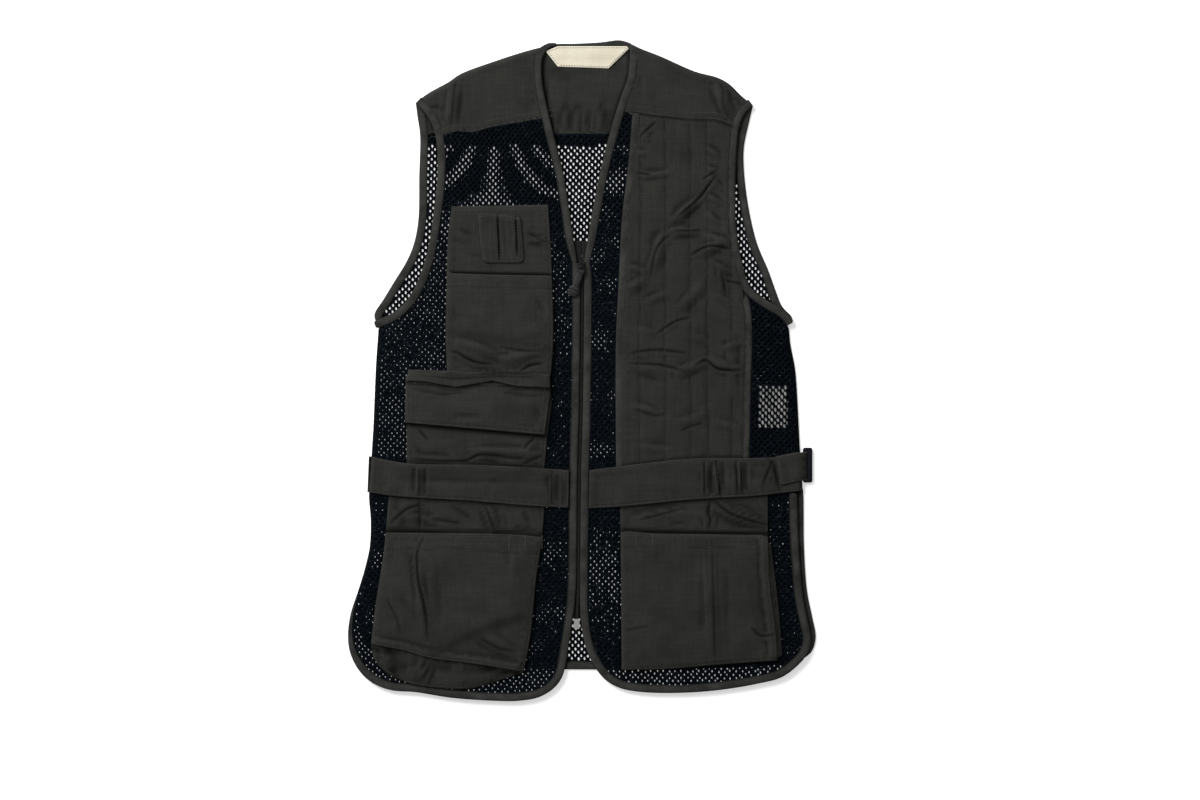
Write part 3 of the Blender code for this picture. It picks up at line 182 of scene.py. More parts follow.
# Small creases: x, y of both ends, height (below 0 a trough), width, bow sideways
smallFolds = {
    "yokeR": ((-151, 330, -156, 280, 0.2, 16, 2), (-164, 322, -168, 282, -0.15, 16, -2),
        (-70, 352, -96, 296, 0.3, 28, 3), (-118, 344, -124, 288, 0.25, 24, -3),
        (-60, 318, -66, 292, -0.25, 20, 0), (-176, 300, -160, 292, 0.4, 11, 0)),
    "yokeL": ((158, 333, 174, 292, 0.3, 16, -2), (142, 336, 150, 296, -0.25, 16, 2),
        (186, 316, 199, 305, 0.8, 11, 0), (92, 352, 100, 300, 0.3, 26, 3), (70, 346, 66, 304, -0.25, 22, 0),
        (176, 318, 190, 300, -0.5, 11, 0)),
    "pad": ((67, 281, 78, 264, 0.9, 9, 1), (60, 249, 76, 250, 0.8, 7, 1), (62, 226, 106, 229, 0.8, 8, -2),
        (104, 172, 136, 198, 0.9, 9, 2), (82, 138, 98, 161, 0.9, 10, 2), (97, 161, 130, 160, 0.9, 8, 2),
        (141, 258, 159, 244, 0.9, 8, 1), (142, 236, 158, 228, 0.8, 7, -1), (142, 226, 160, 207, 0.9, 8, 1),
        (143, 203, 160, 190, 0.8, 7, 1), (142, 184, 160, 167, 0.9, 8, -1), (138, 155, 178, 140, 0.9, 9, 3),
        (52, 120, 74, 112, 0.7, 8, 1), (146, 128, 176, 112, 0.7, 8, -2), (70, 76, 104, 88, 0.7, 10, 2),
        (118, 40, 150, 30, 0.6, 10, 2), (60, 50, 86, 42, 0.5, 10, -1), (150, 88, 178, 70, 0.7, 9, 2),
        (52, -40, 90, -52, 0.7, 10, 2), (104, -62, 146, -48, 0.7, 11, -2), (150, -60, 186, -72, 0.6, 10, 2),
        (60, -88, 110, -94, 0.6, 9, 1), (158, 24, 186, 34, 0.6, 9, -1)),
    "chest": ((-66, 150, -37, 149, 1.0, 6, 1), (-146, 158, -128, 150, 0.5, 9, 0),
        (-60, 186, -52, 132, -0.35, 16, 0), (-140, 128, -104, 122, 0.4, 10, 1)),
    "pouch": ((-152, 34, -98, 16, 0.8, 10, 3), (-100, 12, -40, 26, 0.9, 10, -3),
        (-130, 8, -86, 2, 0.6, 9, 1), (-76, 40, -40, 46, 0.4, 14, 1), (-148, 70, -120, 64, 0.35, 14, 1),
        (-58, 92, -42, 60, -0.4, 12, 0)),
    "flapPocket": ((-130, -92, -44, -98, 0.9, 8, 2), (-196, -98, -150, -104, 0.8, 9, -2),
        (-176, -88, -140, -84, 0.4, 12, 0), (-100, -106, -60, -110, 0.6, 7, 1),
        (-198, -84, -188, -112, 0.5, 9, 0)),
    "flap": ((-180, -40, -120, -46, 0.45, 16, 2), (-96, -34, -50, -40, 0.4, 16, -2),
        (-150, -58, -110, -60, 0.4, 9, 1), (-66, -30, -60, -64, 0.4, 12, 1)),
    "backR": ((-219, -160, -210, -179, 0.9, 9, 1), (-205, -170, -164, -175, 0.9, 8, 2),
        (-111, -154, -99, -189, 0.9, 9, 1), (-84, -187, -48, -191, 0.7, 8, 1),
        (-160, -162, -130, -180, 0.6, 12, 2), (-76, -160, -66, -184, 0.5, 10, 0)),
    "pocketR": ((-184, -196, -179, -310, 0.6, 12, -6), (-170, -290, -82, -322, 0.9, 26, 8),
        (-150, -250, -100, -300, 0.6, 30, 6), (-110, -214, -70, -240, 0.5, 22, 4),
        (-222, -250, -196, -300, 0.7, 16, -3), (-128, -304, -76, -330, 0.8, 14, 4),
        (-214, -210, -200, -240, 0.5, 12, 2), (-90, -200, -84, -236, -0.5, 12, 1)),
    "gussetR": ((-236, -325, -213, -354, 1.2, 9, 2), (-190, -334, -176, -360, 0.8, 10, 2),
        (-150, -340, -128, -362, 0.8, 12, 2), (-215, -330, -196, -356, -0.8, 9, 1)),
    "backL": ((52, -172, 124, -164, 0.8, 9, 3), (156, -156, 211, -179, 0.9, 9, -3),
        (90, -184, 120, -180, 0.5, 8, 0), (136, -160, 150, -184, 0.6, 10, 1)),
    "pocketL": ((147, -196, 150, -336, 0.7, 11, 0), (64, -214, 96, -262, 0.6, 24, 5),
        (110, -250, 140, -316, 0.6, 26, -5), (168, -232, 200, -300, 0.7, 22, 6),
        (60, -290, 110, -326, 0.6, 22, 5), (176, -204, 206, -222, 0.5, 14, 2)),
    "beltR": ((-34, -116, -34, -153, 1.2, 7, 0), (-22, -118, -23, -154, 1.0, 7, 0),
        (-186, -108, -188, -145, 0.9, 8, 0), (-193, -108, -195, -145, -0.8, 5, 0),
        (-181, -108, -181, -145, -0.6, 5, 0), (-226, -116, -214, -138, 0.2, 14, 1),
        (-112, -120, -118, -148, 0.15, 18, 1)),
    "beltL": ((143, -104, 143, -146, 1.0, 7, 0), (156, -104, 157, -144, 1.1, 7, 0),
        (181, -102, 182, -142, 1.0, 8, 0), (150, -104, 150, -146, -0.8, 5, 0),
        (188, -102, 189, -142, -0.6, 5, 0), (62, -118, 58, -150, 0.2, 16, 1),
        (104, -110, 108, -146, 0.15, 18, -1)),
    "backYoke": ((-19.6, 303, -20, 268, 1.0, 8, 0), (-5.8, 301, -6, 268, 1.0, 7, 0),
        (2.3, 304, 2, 268, 0.9, 6, 0), (20.8, 302, 21, 268, 1.0, 9, 0), (-36, 342, -12, 300, 0.25, 30, 4),
        (18, 350, 40, 312, 0.25, 26, -4)),
}


def softCurve(points, step=6.0):
    # A cubic through the points, its slope at each taken over the square root of the chord lengths
    at = np.array(points, float)
    chord = np.linalg.norm(np.diff(at, axis=0), axis=1)
    knot = np.concatenate([[0.0], np.cumsum(np.sqrt(chord))])
    slope = np.gradient(at, knot, axis=0)
    made = []
    for i, length in enumerate(chord):
        count = max(1, round(length / step))
        u = (np.arange(count) / count)[:, None]
        h = knot[i + 1] - knot[i]
        made.append((2 * u**3 - 3 * u**2 + 1) * at[i] + (u**3 - 2 * u**2 + u) * h * slope[i]
                    + (3 * u**2 - 2 * u**3) * at[i + 1] + (u**3 - u**2) * h * slope[i + 1])
    made.append(at[-1:])
    return np.concatenate(made)


def leftOf(curve, distance):
    # Each point moved along its unit normal, which is its direction of travel turned a quarter to the left
    along = np.gradient(curve, axis=0)
    along /= np.linalg.norm(along, axis=1)[:, None]
    return curve + np.stack([-along[:, 1], along[:, 0]], axis=1) * np.reshape(distance, (-1, 1))


def stretchOf(curve, a, b):
    # The part of a curve between the points nearest a and b, running from a to b
    i, j = (np.linalg.norm(curve - p, axis=1).argmin() for p in (a, b))
    return curve[i:j + 1] if i <= j else curve[j:i + 1][::-1]


def ringOf(*parts):
    # One closed outline from parts laid end to end, without repeated points
    at = np.concatenate([np.asarray(p, float).reshape(-1, 2) for p in parts])
    return at[np.linalg.norm(at - np.roll(at, 1, axis=0), axis=1) > 0.05]


def travelled(curve):
    # Length of the curve up to each of its points
    return np.concatenate([[0.0], np.cumsum(np.linalg.norm(np.diff(curve, axis=0), axis=1))])


def along(curve, shares):
    # Points at these shares of the curve's length
    far = travelled(curve)
    return np.stack([np.interp(np.asarray(shares) * far[-1], far, column) for column in curve.T], axis=1)


def lengthOf(curve):
    # Sum of the distances between neighbouring points
    return float(np.linalg.norm(np.diff(curve, axis=0), axis=1).sum())


def turning(outline):
    # Twice the area, above 0 where the outline runs counterclockwise
    x, y = outline.T
    return float((x * np.roll(y, -1) - np.roll(x, -1) * y).sum())


def outOf(loop):
    # Unit normals of a closed loop: the direction between both neighbours turned a quarter to the right
    tangent = np.roll(loop, -1, axis=0) - np.roll(loop, 1, axis=0)
    tangent /= np.linalg.norm(tangent, axis=1)[:, None] + 1e-9
    return np.stack([tangent[:, 1], -tangent[:, 0]], 1)


def lineDistance(x, y, line, closed=False):
    # Distance to the nearest of the line's straight parts; closed lines give it below 0 outside
    ends = np.concatenate([line, line[:1]]) if closed else line
    best = np.full(x.shape, 1e9)
    inside = np.zeros(x.shape, bool)
    for (ax, ay), (bx, by) in zip(ends[:-1], ends[1:]):
        dx, dy = bx - ax, by - ay
        t = np.clip(((x - ax) * dx + (y - ay) * dy) / (dx * dx + dy * dy + 1e-12), 0, 1)
        best = np.minimum(best, (x - ax - t * dx) ** 2 + (y - ay - t * dy) ** 2)
        if closed and ay != by:
            inside ^= ((ay > y) != (by > y)) & (x < ax + (y - ay) / (by - ay) * dx)
    far = np.sqrt(best)
    return np.where(inside, far, -far) if closed else far


def nearestOn(x, y, line):
    # Nearest point of an open line: its distance, its share of the length, and its place
    steps = np.linalg.norm(np.diff(line, axis=0), axis=1)
    begin = np.cumsum(steps) - steps
    best, share, px, py = np.full(x.shape, 1e9), np.zeros(x.shape), x.copy(), y.copy()
    for (ax, ay), (bx, by), step, start in zip(line[:-1], line[1:], steps, begin):
        dx, dy = bx - ax, by - ay
        t = np.clip(((x - ax) * dx + (y - ay) * dy) / (dx * dx + dy * dy + 1e-12), 0, 1)
        far = (x - ax - t * dx) ** 2 + (y - ay - t * dy) ** 2
        near = far < best
        share = np.where(near, (start + t * step) / steps.sum(), share)
        px, py, best = np.where(near, ax + t * dx, px), np.where(near, ay + t * dy, py), np.minimum(far, best)
    return np.sqrt(best), share, px, py


def alongLine(x, y, points):
    # The same for a curve through the points
    return nearestOn(x, y, softCurve(points) if len(points) > 2 else np.array(points, float))


pinch = {
    "width": 1.1,  # of the furrow, where its bell falls to 1 / e
    "dark": 1.4,  # and of the painted shade along it
    "bank": (0.6, 3.0, 2.0),  # cloth that stands up beside it: share of the depth, how far off, how wide
}


def pinched(rows, x, y):
    # Pressed creases: depth below the cloth and painted shade along it. A bell across, a bank on both sides
    # of it, and a flat-topped fade to both ends
    share, off, wide = pinch["bank"]
    down, dark = np.zeros(x.shape), np.zeros(x.shape)
    for line, strength in rows:
        far, way, _, _ = alongLine(x, y, line)
        fade = strength * (1 - np.abs(2 * way - 1) ** 4)
        down += fade * (np.exp(-(far / pinch["width"]) ** 2) - share * np.exp(-((far - off) / wide) ** 2))
        dark = np.maximum(dark, fade * np.exp(-(far / pinch["dark"]) ** 2))
    return down * lay["pinch"], dark


def foldFrame(x0, y0, x1, y1, x, y):
    # Share of the way from one end of a fold to the other, and millimetres to its left
    length = math.hypot(x1 - x0, y1 - y0)
    ux, uy = (x1 - x0) / length, (y1 - y0) / length
    return ((x - x0) * ux + (y - y0) * uy) / length, (y - y0) * ux - (x - x0) * uy


def ridgeHeight(rows, x, y):
    # The largest of the ridges: a cosine across, a sine along
    total = np.zeros(x.shape)
    for *ends, height, width in rows:
        t, aside = foldFrame(*ends, x, y)
        across = np.clip(np.abs(aside) / (width / 2), 0, 1)
        bell = height * (0.5 + 0.5 * np.cos(math.pi * across))
        total = np.maximum(total, bell * np.sin(math.pi * np.clip(t, 0, 1)))
    return total


def creaseHeight(rows, x, y):
    # Soft creases added up: a bell across that leans to one side, a sine along, the line itself bowed
    total = np.zeros(x.shape)
    for *ends, height, width, bow in rows:
        t, aside = foldFrame(*ends, x, y)
        inside = (t > 0) & (t < 1)
        sine = np.sin(math.pi * np.clip(t, 0, 1))
        off = (aside - bow * sine) / (width / 2)
        bell = np.exp(-off ** 2 * 1.6) - 0.45 * np.exp(-(off - 1.5) ** 2 * 1.6)
        total += np.where(inside, height * bell * sine, 0)
    return total


def ripple(x, y, size=1.0):
    # Slow uneven waves of worn cloth: four crossing sines of different lengths
    return 0.16 * size * (np.sin(x / 7.3 + 1.3 * np.sin(y / 19)) * np.cos(y / 9.7 + 0.8 * np.sin(x / 23))
                          + 1.7 * np.sin(x / 17.9 - y / 29.3) * np.sin(y / 21.7 + x / 41.1))


def frontHeight(x, y):
    # Underside of the front: slow waves that die out at the zip, and the large folds
    wave = lay["air"] * (1 + np.sin(x / 61) * np.cos(y / 83)) * (1 - np.exp(-((x / 45) ** 2)))
    return lay["front"] + wave + ridgeHeight(bigFolds, x, y)


# Map of the top of all that is laid so far
mapPitch, mapX, mapY = 2.0, -290.0, -400.0
mapGridX, mapGridY = np.meshgrid(mapX + mapPitch * np.arange(291), mapY + mapPitch * np.arange(401))
topMap = frontHeight(mapGridX, mapGridY) + lay["cloth"]


def readMap(heights, x, y):
    # Straight-line reading between the four nearest map points
    fx = np.clip((x - mapX) / mapPitch, 0, heights.shape[1] - 1.001)
    fy = np.clip((y - mapY) / mapPitch, 0, heights.shape[0] - 1.001)
    i, j = fy.astype(int), fx.astype(int)
    fx, fy = fx - j, fy - i
    return ((heights[i, j] * (1 - fx) + heights[i, j + 1] * fx) * (1 - fy)
            + (heights[i + 1, j] * (1 - fx) + heights[i + 1, j + 1] * fx) * fy)


def aroundOf(grid):
    # Each point of a grid and its four neighbours, the outermost repeated beyond the grid
    edge = np.pad(grid, 1, mode="edge")
    return edge[1:-1, 1:-1], edge[2:, 1:-1], edge[:-2, 1:-1], edge[1:-1, 2:], edge[1:-1, :-2]


def evened(grid, times):
    # Each point becomes the mean of itself, counted twice, and its four neighbours, again and again
    for _ in range(times):
        own, *near = aroundOf(grid)
        grid = (own * 2 + near[0] + near[1] + near[2] + near[3]) / 6
    return grid


def settled(heights, spread=2, blur=2):
    # What cloth laid over the map follows: the highest of the near points, then evened out
    for _ in range(spread):
        heights = np.max(aroundOf(heights), axis=0)
    return evened(heights, blur)


def raiseMap(outline, surface):
    # Lifts the map to the surface inside the outline
    low, high = outline.min(0), outline.max(0)
    near = (mapGridX >= low[0]) & (mapGridX <= high[0]) & (mapGridY >= low[1]) & (mapGridY <= high[1])
    x, y = mapGridX[near], mapGridY[near]
    inside = lineDistance(x, y, outline, True) > 0
    values = topMap[near]
    values[inside] = np.maximum(values[inside], surface(x[inside], y[inside]))
    topMap[near] = values


def spacing(length, pitch, marks=()):
    # Shares of a side: even steps, with closer lines at both ends and at each mark
    close = [0.45, 1.1, 1.9, 2.8, 4.2] if length > 20 else [0.5, 1.4] if length > 6 else []
    lines = close + [length - c for c in close]
    lines += [m + o for m in marks for o in (-1.5, -0.7, 0, 0.7, 1.5)]
    even = np.linspace(0, length, max(2, round(length / pitch)) + 1)
    keep = [e for e in even[1:-1] if not lines or np.abs(np.array(lines) - e).min() > 0.45 * pitch]
    return np.array(sorted([0.0, length, *lines, *keep])) / length


def addObject(name, data):
    # An object that holds the data, linked into the scene
    made = bpy.data.objects.new(name, data)
    bpy.context.scene.collection.objects.link(made)
    return made


def makeMesh(name, points, faces, finish, sharp=None):
    # A mesh from millimetre points and arrays of faces with the same number of corners each
    mesh = bpy.data.meshes.new(name)
    mesh.vertices.add(len(points))
    mesh.vertices.foreach_set("co", (np.asarray(points, float) * mm).ravel())
    loops = np.concatenate([f.ravel() for f in faces]).astype(np.int32)
    sizes = np.concatenate([np.full(len(f), f.shape[1]) for f in faces])
    mesh.loops.add(len(loops))
    mesh.loops.foreach_set("vertex_index", loops)
    mesh.polygons.add(len(sizes))
    mesh.polygons.foreach_set("loop_start", (np.cumsum(sizes) - sizes).astype(np.int32))
    mesh.update(calc_edges=True)
    mesh.materials.append(finish)
    mesh.shade_smooth()
    if sharp:
        mesh.set_sharp_from_angle(angle=math.radians(sharp))
    return addObject(name, mesh)


def setAttribute(piece, name, values):
    # One number for each of the piece's points, which its finish reads by this name
    made = piece.data.attributes.new(name, "FLOAT", "POINT")
    made.data.foreach_set("value", np.asarray(values, np.float32))


def areaOf(outline):
    # Half of what turning gives, without its sign
    return abs(turning(outline)) / 2


def declare(piece, node, area=None, body="vest"):
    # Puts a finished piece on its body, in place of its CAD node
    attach(piece, body)
    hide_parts(node)


def gridFaces(rows, columns):
    # Quads between neighbouring grid points, counterclockwise seen from above
    i, j = (v.ravel() for v in np.meshgrid(np.arange(rows - 1), np.arange(columns - 1), indexing="ij"))
    a = i * columns + j
    return np.stack([a, a + 1, a + columns + 1, a + columns], axis=1)


def tubeFaces(rings, around, closed=False):
    # Quads between neighbouring rings of points. An open tube has a fan to a middle point at each end too,
    # and these two points come after its rings
    i, j = (v.ravel() for v in np.meshgrid(np.arange(rings - (not closed)), np.arange(around), indexing="ij"))
    here, ahead, after = i * around, (i + 1) % rings * around, (j + 1) % around
    quads = np.stack([here + j, ahead + j, ahead + after, here + after], 1)
    if closed:
        return [quads]
    ring, last, middle = np.arange(around), (rings - 1) * around, rings * around
    ringAfter = (ring + 1) % around
    start = np.stack([ring, ringAfter, np.full(around, middle)], 1)
    end = np.stack([last + ringAfter, last + ring, np.full(around, middle + 1)], 1)
    return [quads, np.concatenate([start, end])]


def roundTurn(count):
    # Even steps once round, in radians
    return np.arange(count) / count * 2 * math.pi


def squared(values, power):
    # A sine or cosine drawn out towards a square: its size to a power, its sign kept
    return np.sign(values) * np.abs(values) ** power


# Materials

def fill(tree, made, values):
    # Sets a node's inputs by name: a number or a colour, or a link from another node's socket
    for key, value in values.items():
        if isinstance(value, bpy.types.NodeSocket):
            tree.links.new(value, made.inputs[key])
        else:
            made.inputs[key].default_value = value


def node(tree, kind, values, **settings):
    # A new shader node with its settings made and its inputs filled
    made = tree.nodes.new(kind)
    for key, value in settings.items():
        setattr(made, key, value)
    fill(tree, made, values)
    return made


def newFinish(name, roughness, metallic=0.0, sheen=0.0, gloss=0.5):
    # A material with even values, and what goes on from there: its tree, its shader and places on the piece
    made = bpy.data.materials.new(name)
    made.use_nodes = True
    tree = made.node_tree
    shader = tree.nodes["Principled BSDF"]
    fill(tree, shader, {"Roughness": roughness, "Metallic": metallic, "Specular IOR Level": gloss,
                        "Sheen Weight": sheen, "Sheen Roughness": 0.5})
    return made, tree, shader, tree.nodes.new("ShaderNodeTexCoord").outputs["Object"]


def mixColour(tree, factor, a, b):
    # Blend of two colours, or of a socket and a colour, by a factor socket
    made = node(tree, "ShaderNodeMix", {"Factor": factor}, data_type="RGBA")
    for socket, value in (("A", a), ("B", b)):
        target = [s for s in made.inputs if s.name == socket and s.type == "RGBA"][0]
        if isinstance(value, tuple):
            target.default_value = (*value, 1.0)
        else:
            tree.links.new(value, target)
    return [s for s in made.outputs if s.type == "RGBA"][0]


def spread(tree, value, low, high, toLow=0.0, toHigh=1.0):
    # A straight line from low, which gives toLow, to high, which gives toHigh
    values = {"From Min": low, "From Max": high, "To Min": toLow, "To Max": toHigh, "Value": value}
    return node(tree, "ShaderNodeMapRange", values).outputs["Result"]


def noiseAt(tree, place, scale, detail=3.0, roughness=0.55):
    # Cloudy noise read at a place
    values = {"Scale": scale, "Detail": detail, "Roughness": roughness, "Vector": place}
    return node(tree, "ShaderNodeTexNoise", values).outputs["Fac"]


def worked(tree, operation, a, b):
    # Two sockets added or multiplied
    made = node(tree, "ShaderNodeMath", {}, operation=operation)
    for k, value in enumerate((a, b)):
        tree.links.new(value, made.inputs[k])
    return made.outputs[0]


def attributeOf(tree, name):
    # What a piece's own attribute says
    return node(tree, "ShaderNodeAttribute", {}, attribute_name=name).outputs["Fac"]


def threads(tree, place, fine, long):
    # Noise drawn out along y and along x, added: the uneven threads of both directions, about 1 in the middle
    drawn = []
    for scale in ((fine, long, fine), (long, fine, fine)):
        mapping = node(tree, "ShaderNodeMapping", {"Scale": scale, "Vector": place})
        drawn.append(noiseAt(tree, mapping.outputs["Vector"], 1.0))
    return worked(tree, "ADD", *drawn)


def bumpFrom(tree, shader, heights):
    # Bumps chained one on another: (height socket, depth in mm)
    last = {}
    for height, depth in heights:
        values = {"Strength": 1.0, "Distance": depth * mm, "Height": height, **last}
        bump = node(tree, "ShaderNodeBump", values)
        last = {"Normal": bump.outputs["Normal"]}
    fill(tree, shader, last)


def wovenFinish(name, dark, pale, wornAndHighlight, ribs, ribDepth, direction="DIAGONAL", roughness=0.85, sheen=0.0,
                fuzz=0.05, gloss=0.06, slack=0.2, mottle=0.3, glints=None):
    # Woven cloth: two tones in slow cloudy patches, streaked by uneven threads, paler by wear and a painted
    # highlight where an attribute of the piece says so, along edges and raised tops, and darker by painted
    # shade where another does, in creases, grooves and recesses
    made, tree, shader, place = newFinish(name, roughness, sheen=sheen, gloss=gloss)
    cloud = spread(tree, noiseAt(tree, place, 34.0, 5.0, 0.6), 0.3, 0.7)
    colour = mixColour(tree, cloud, dark, pale)
    grain = spread(tree, threads(tree, place, 620.0, 26.0), 0.76, 1.24, 0.0, mottle)
    colour = mixColour(tree, grain, colour, tuple(0.35 * c for c in dark))
    if glints:  # small pale patches where loops of yarn catch the light
        colour = mixColour(tree, spread(tree, noiseAt(tree, place, 300.0, 2.0), 0.58, 0.68), colour, glints)
    patches = spread(tree, noiseAt(tree, place, 60.0, 3.0), 0.35, 0.75)
    # Wear and painted highlight: paler in patches where the piece's attribute for these is high
    colour = mixColour(tree, worked(tree, "MULTIPLY", attributeOf(tree, "wornAndHighlight"), patches), colour, wornAndHighlight)
    # Painted shade: a tenth of the dark tone where the piece's shade attribute is high
    colour = mixColour(tree, attributeOf(tree, "painted_shade"), colour, tuple(0.1 * c for c in dark))
    values = {"Scale": ribs, "Distortion": 0.6, "Detail": 1.0, "Detail Scale": 0.6, "Vector": place}
    weave = node(tree, "ShaderNodeTexWave", values, bands_direction=direction)
    fill(tree, shader, {"Base Color": colour})
    bumpFrom(tree, shader, [(weave.outputs["Fac"], ribDepth), (noiseAt(tree, place, 260.0, 3.0), fuzz),
                            (noiseAt(tree, place, 60.0, 3.0), slack)])
    return made


twill = wovenFinish("charcoal_twill", (0.0205, 0.0211, 0.0187), (0.0280, 0.0286, 0.0253),
                    (0.050, 0.051, 0.046), 640.0, 0.03, slack=0.7, mottle=0.32)
bindingCloth = wovenFinish("folded_binding", (0.0190, 0.0196, 0.0177), (0.0260, 0.0265, 0.0238),
                           (0.047, 0.048, 0.044), 900.0, 0.02, "X", 0.82, 0.0, 0.04, slack=0.4, mottle=0.3)
labelCloth = wovenFinish("cream_label", (0.60, 0.55, 0.42), (0.70, 0.65, 0.53), (0.74, 0.70, 0.60), 1500.0,
                         0.03, "Y", 0.6, 0.3, 0.02, mottle=0.08)
careCloth = wovenFinish("care_label_satin", (0.93, 0.92, 0.89), (0.96, 0.96, 0.94), (0.95, 0.94, 0.92),
                        1500.0, 0.02, "X", 0.55, 0.2, 0.02, mottle=0.05)
zipCloth = wovenFinish("zip_tape", (0.010, 0.010, 0.011), (0.014, 0.014, 0.015), (0.03, 0.03, 0.03), 1100.0,
                       0.04, "Y", 0.8, 0.0, 0.03)
netYarn = wovenFinish("net_yarn", (0.0006, 0.0016, 0.0029), (0.0014, 0.0028, 0.0047), (0.005, 0.006, 0.009),
                      2600.0, 0.03, "DIAGONAL", 0.7, 0.0, 0.04, 0.03, glints=(0.008, 0.011, 0.015))
thread = wovenFinish("sewing_thread", (0.048, 0.049, 0.045), (0.064, 0.065, 0.060), (0.06, 0.06, 0.06),
                     3000.0, 0.02, "DIAGONAL", 0.6, 0.0, 0.02)


def mouldedFinish(name, colour, roughness, metallic=0.0, scratch=0.02, gloss=0.5):
    # Plastic or painted metal: one tone with faint clouds, scuffs in the roughness, a fine skin
    made, tree, shader, place = newFinish(name, roughness, metallic, gloss=gloss)
    cloud = spread(tree, noiseAt(tree, place, 120.0, 3.0), 0.35, 0.7)
    scuffs = spread(tree, noiseAt(tree, place, 400.0, 4.0), 0.3, 0.8, roughness * 0.8,
                    min(1.0, roughness * 1.35))
    paler = tuple(min(1.0, 1.35 * c + 0.002) for c in colour)
    fill(tree, shader, {"Base Color": mixColour(tree, cloud, colour, paler), "Roughness": scuffs})
    bumpFrom(tree, shader, [(noiseAt(tree, place, 900.0, 2.0), scratch)])
    return made


buckleGloss = mouldedFinish("buckle_gloss", (0.0016, 0.0022, 0.0042), 0.34, scratch=0.001, gloss=0.16)
toothNylon = mouldedFinish("zip_teeth_nylon", (0.012, 0.012, 0.013), 0.38)
sliderPaint = mouldedFinish("slider_black_metal", (0.028, 0.028, 0.030), 0.36, 1.0)
pullRubber = mouldedFinish("pull_soft_plastic", (0.015, 0.0155, 0.015), 0.5, scratch=0.05, gloss=0.18)
boxSteel = mouldedFinish("bottom_box_steel", (0.5, 0.5, 0.49), 0.35, 1.0)

print("finishes made")

# Curves of the finished edges, each with its cloth on the left
curve = {name: softCurve(points) for name, points in edges.items()}
for name in ("shoulderL", "neckR", "armholeL", "backArmholeL", "sideL", "edgeR", "padOuter"):
    curve[name] = curve[name][::-1]

frontR = ringOf(curve["shoulderR"], curve["armholeR"], curve["sideR"], curve["edgeR"], curve["neckR"])
frontL = ringOf(curve["shoulderL"], curve["neckL"], curve["edgeL"], curve["sideL"], curve["armholeL"])


def turnedDown(heights, fold, rest=0.0):
    # A height that runs down to rest at the fold, its cloth on the left: a quarter sine over the curl
    def low(x, y):
        far = lineDistance(x, y, curve[fold]) / lay["curl"]
        share = np.sin(np.clip(far, 0, 1) * math.pi / 2)
        return rest + (heights(x, y) - rest) * share
    return low


# Nets: a staggered lattice of six-sided holes in diamond cells
shaded = []  # pieces and their points, which get painted shade in their recesses at the end
netLattice = {
    "pitch": 7.13,  # between holes along a row
    "row": 3.78,  # between rows, each moved half a pitch
    "hole": (0.96, 1.77),  # half width and half height
    "frontHole": (0.92, 1.85),
    "tilt": 6.0,  # degrees that each hole leans
    "turnBack": -2.0,  # degrees that the back's lattice is turned
    "turnFront": 5.4,
    "edge": 0.8,  # no hole nearer than this to the panel's edge
    "cover": 6.0,  # no hole further than this under a piece that hides it
    "swing": (1.6, 1.8),  # how far the front's lattice strays from straight rows
    # A gathered net draws in towards this x, at these y to these shares of its width
    "gather": (-101.0, (150, 190, 215, 258), (0.99, 0.955, 0.88, 0.78)),
}


def warp(x, y):
    # Slow waves of the front's lattice, as worn net has: one sine along x, one along y
    aside, up = netLattice["swing"]
    return aside * np.sin(x / 37 + y / 53), up * np.sin(y / 41 - x / 60 + 1)


def backHole(x, y):
    # The hole of the back's lattice nearest to a point
    a, b, turn = netLattice["pitch"] / 2, netLattice["row"], math.radians(netLattice["turnBack"])
    cos, sin = math.cos(turn), math.sin(turn)
    q = round((-x * sin + y * cos) / b)
    p = 2 * round(((x * cos + y * sin) / a - q % 2) / 2) + q % 2
    return a * p * cos - b * q * sin, a * p * sin + b * q * cos


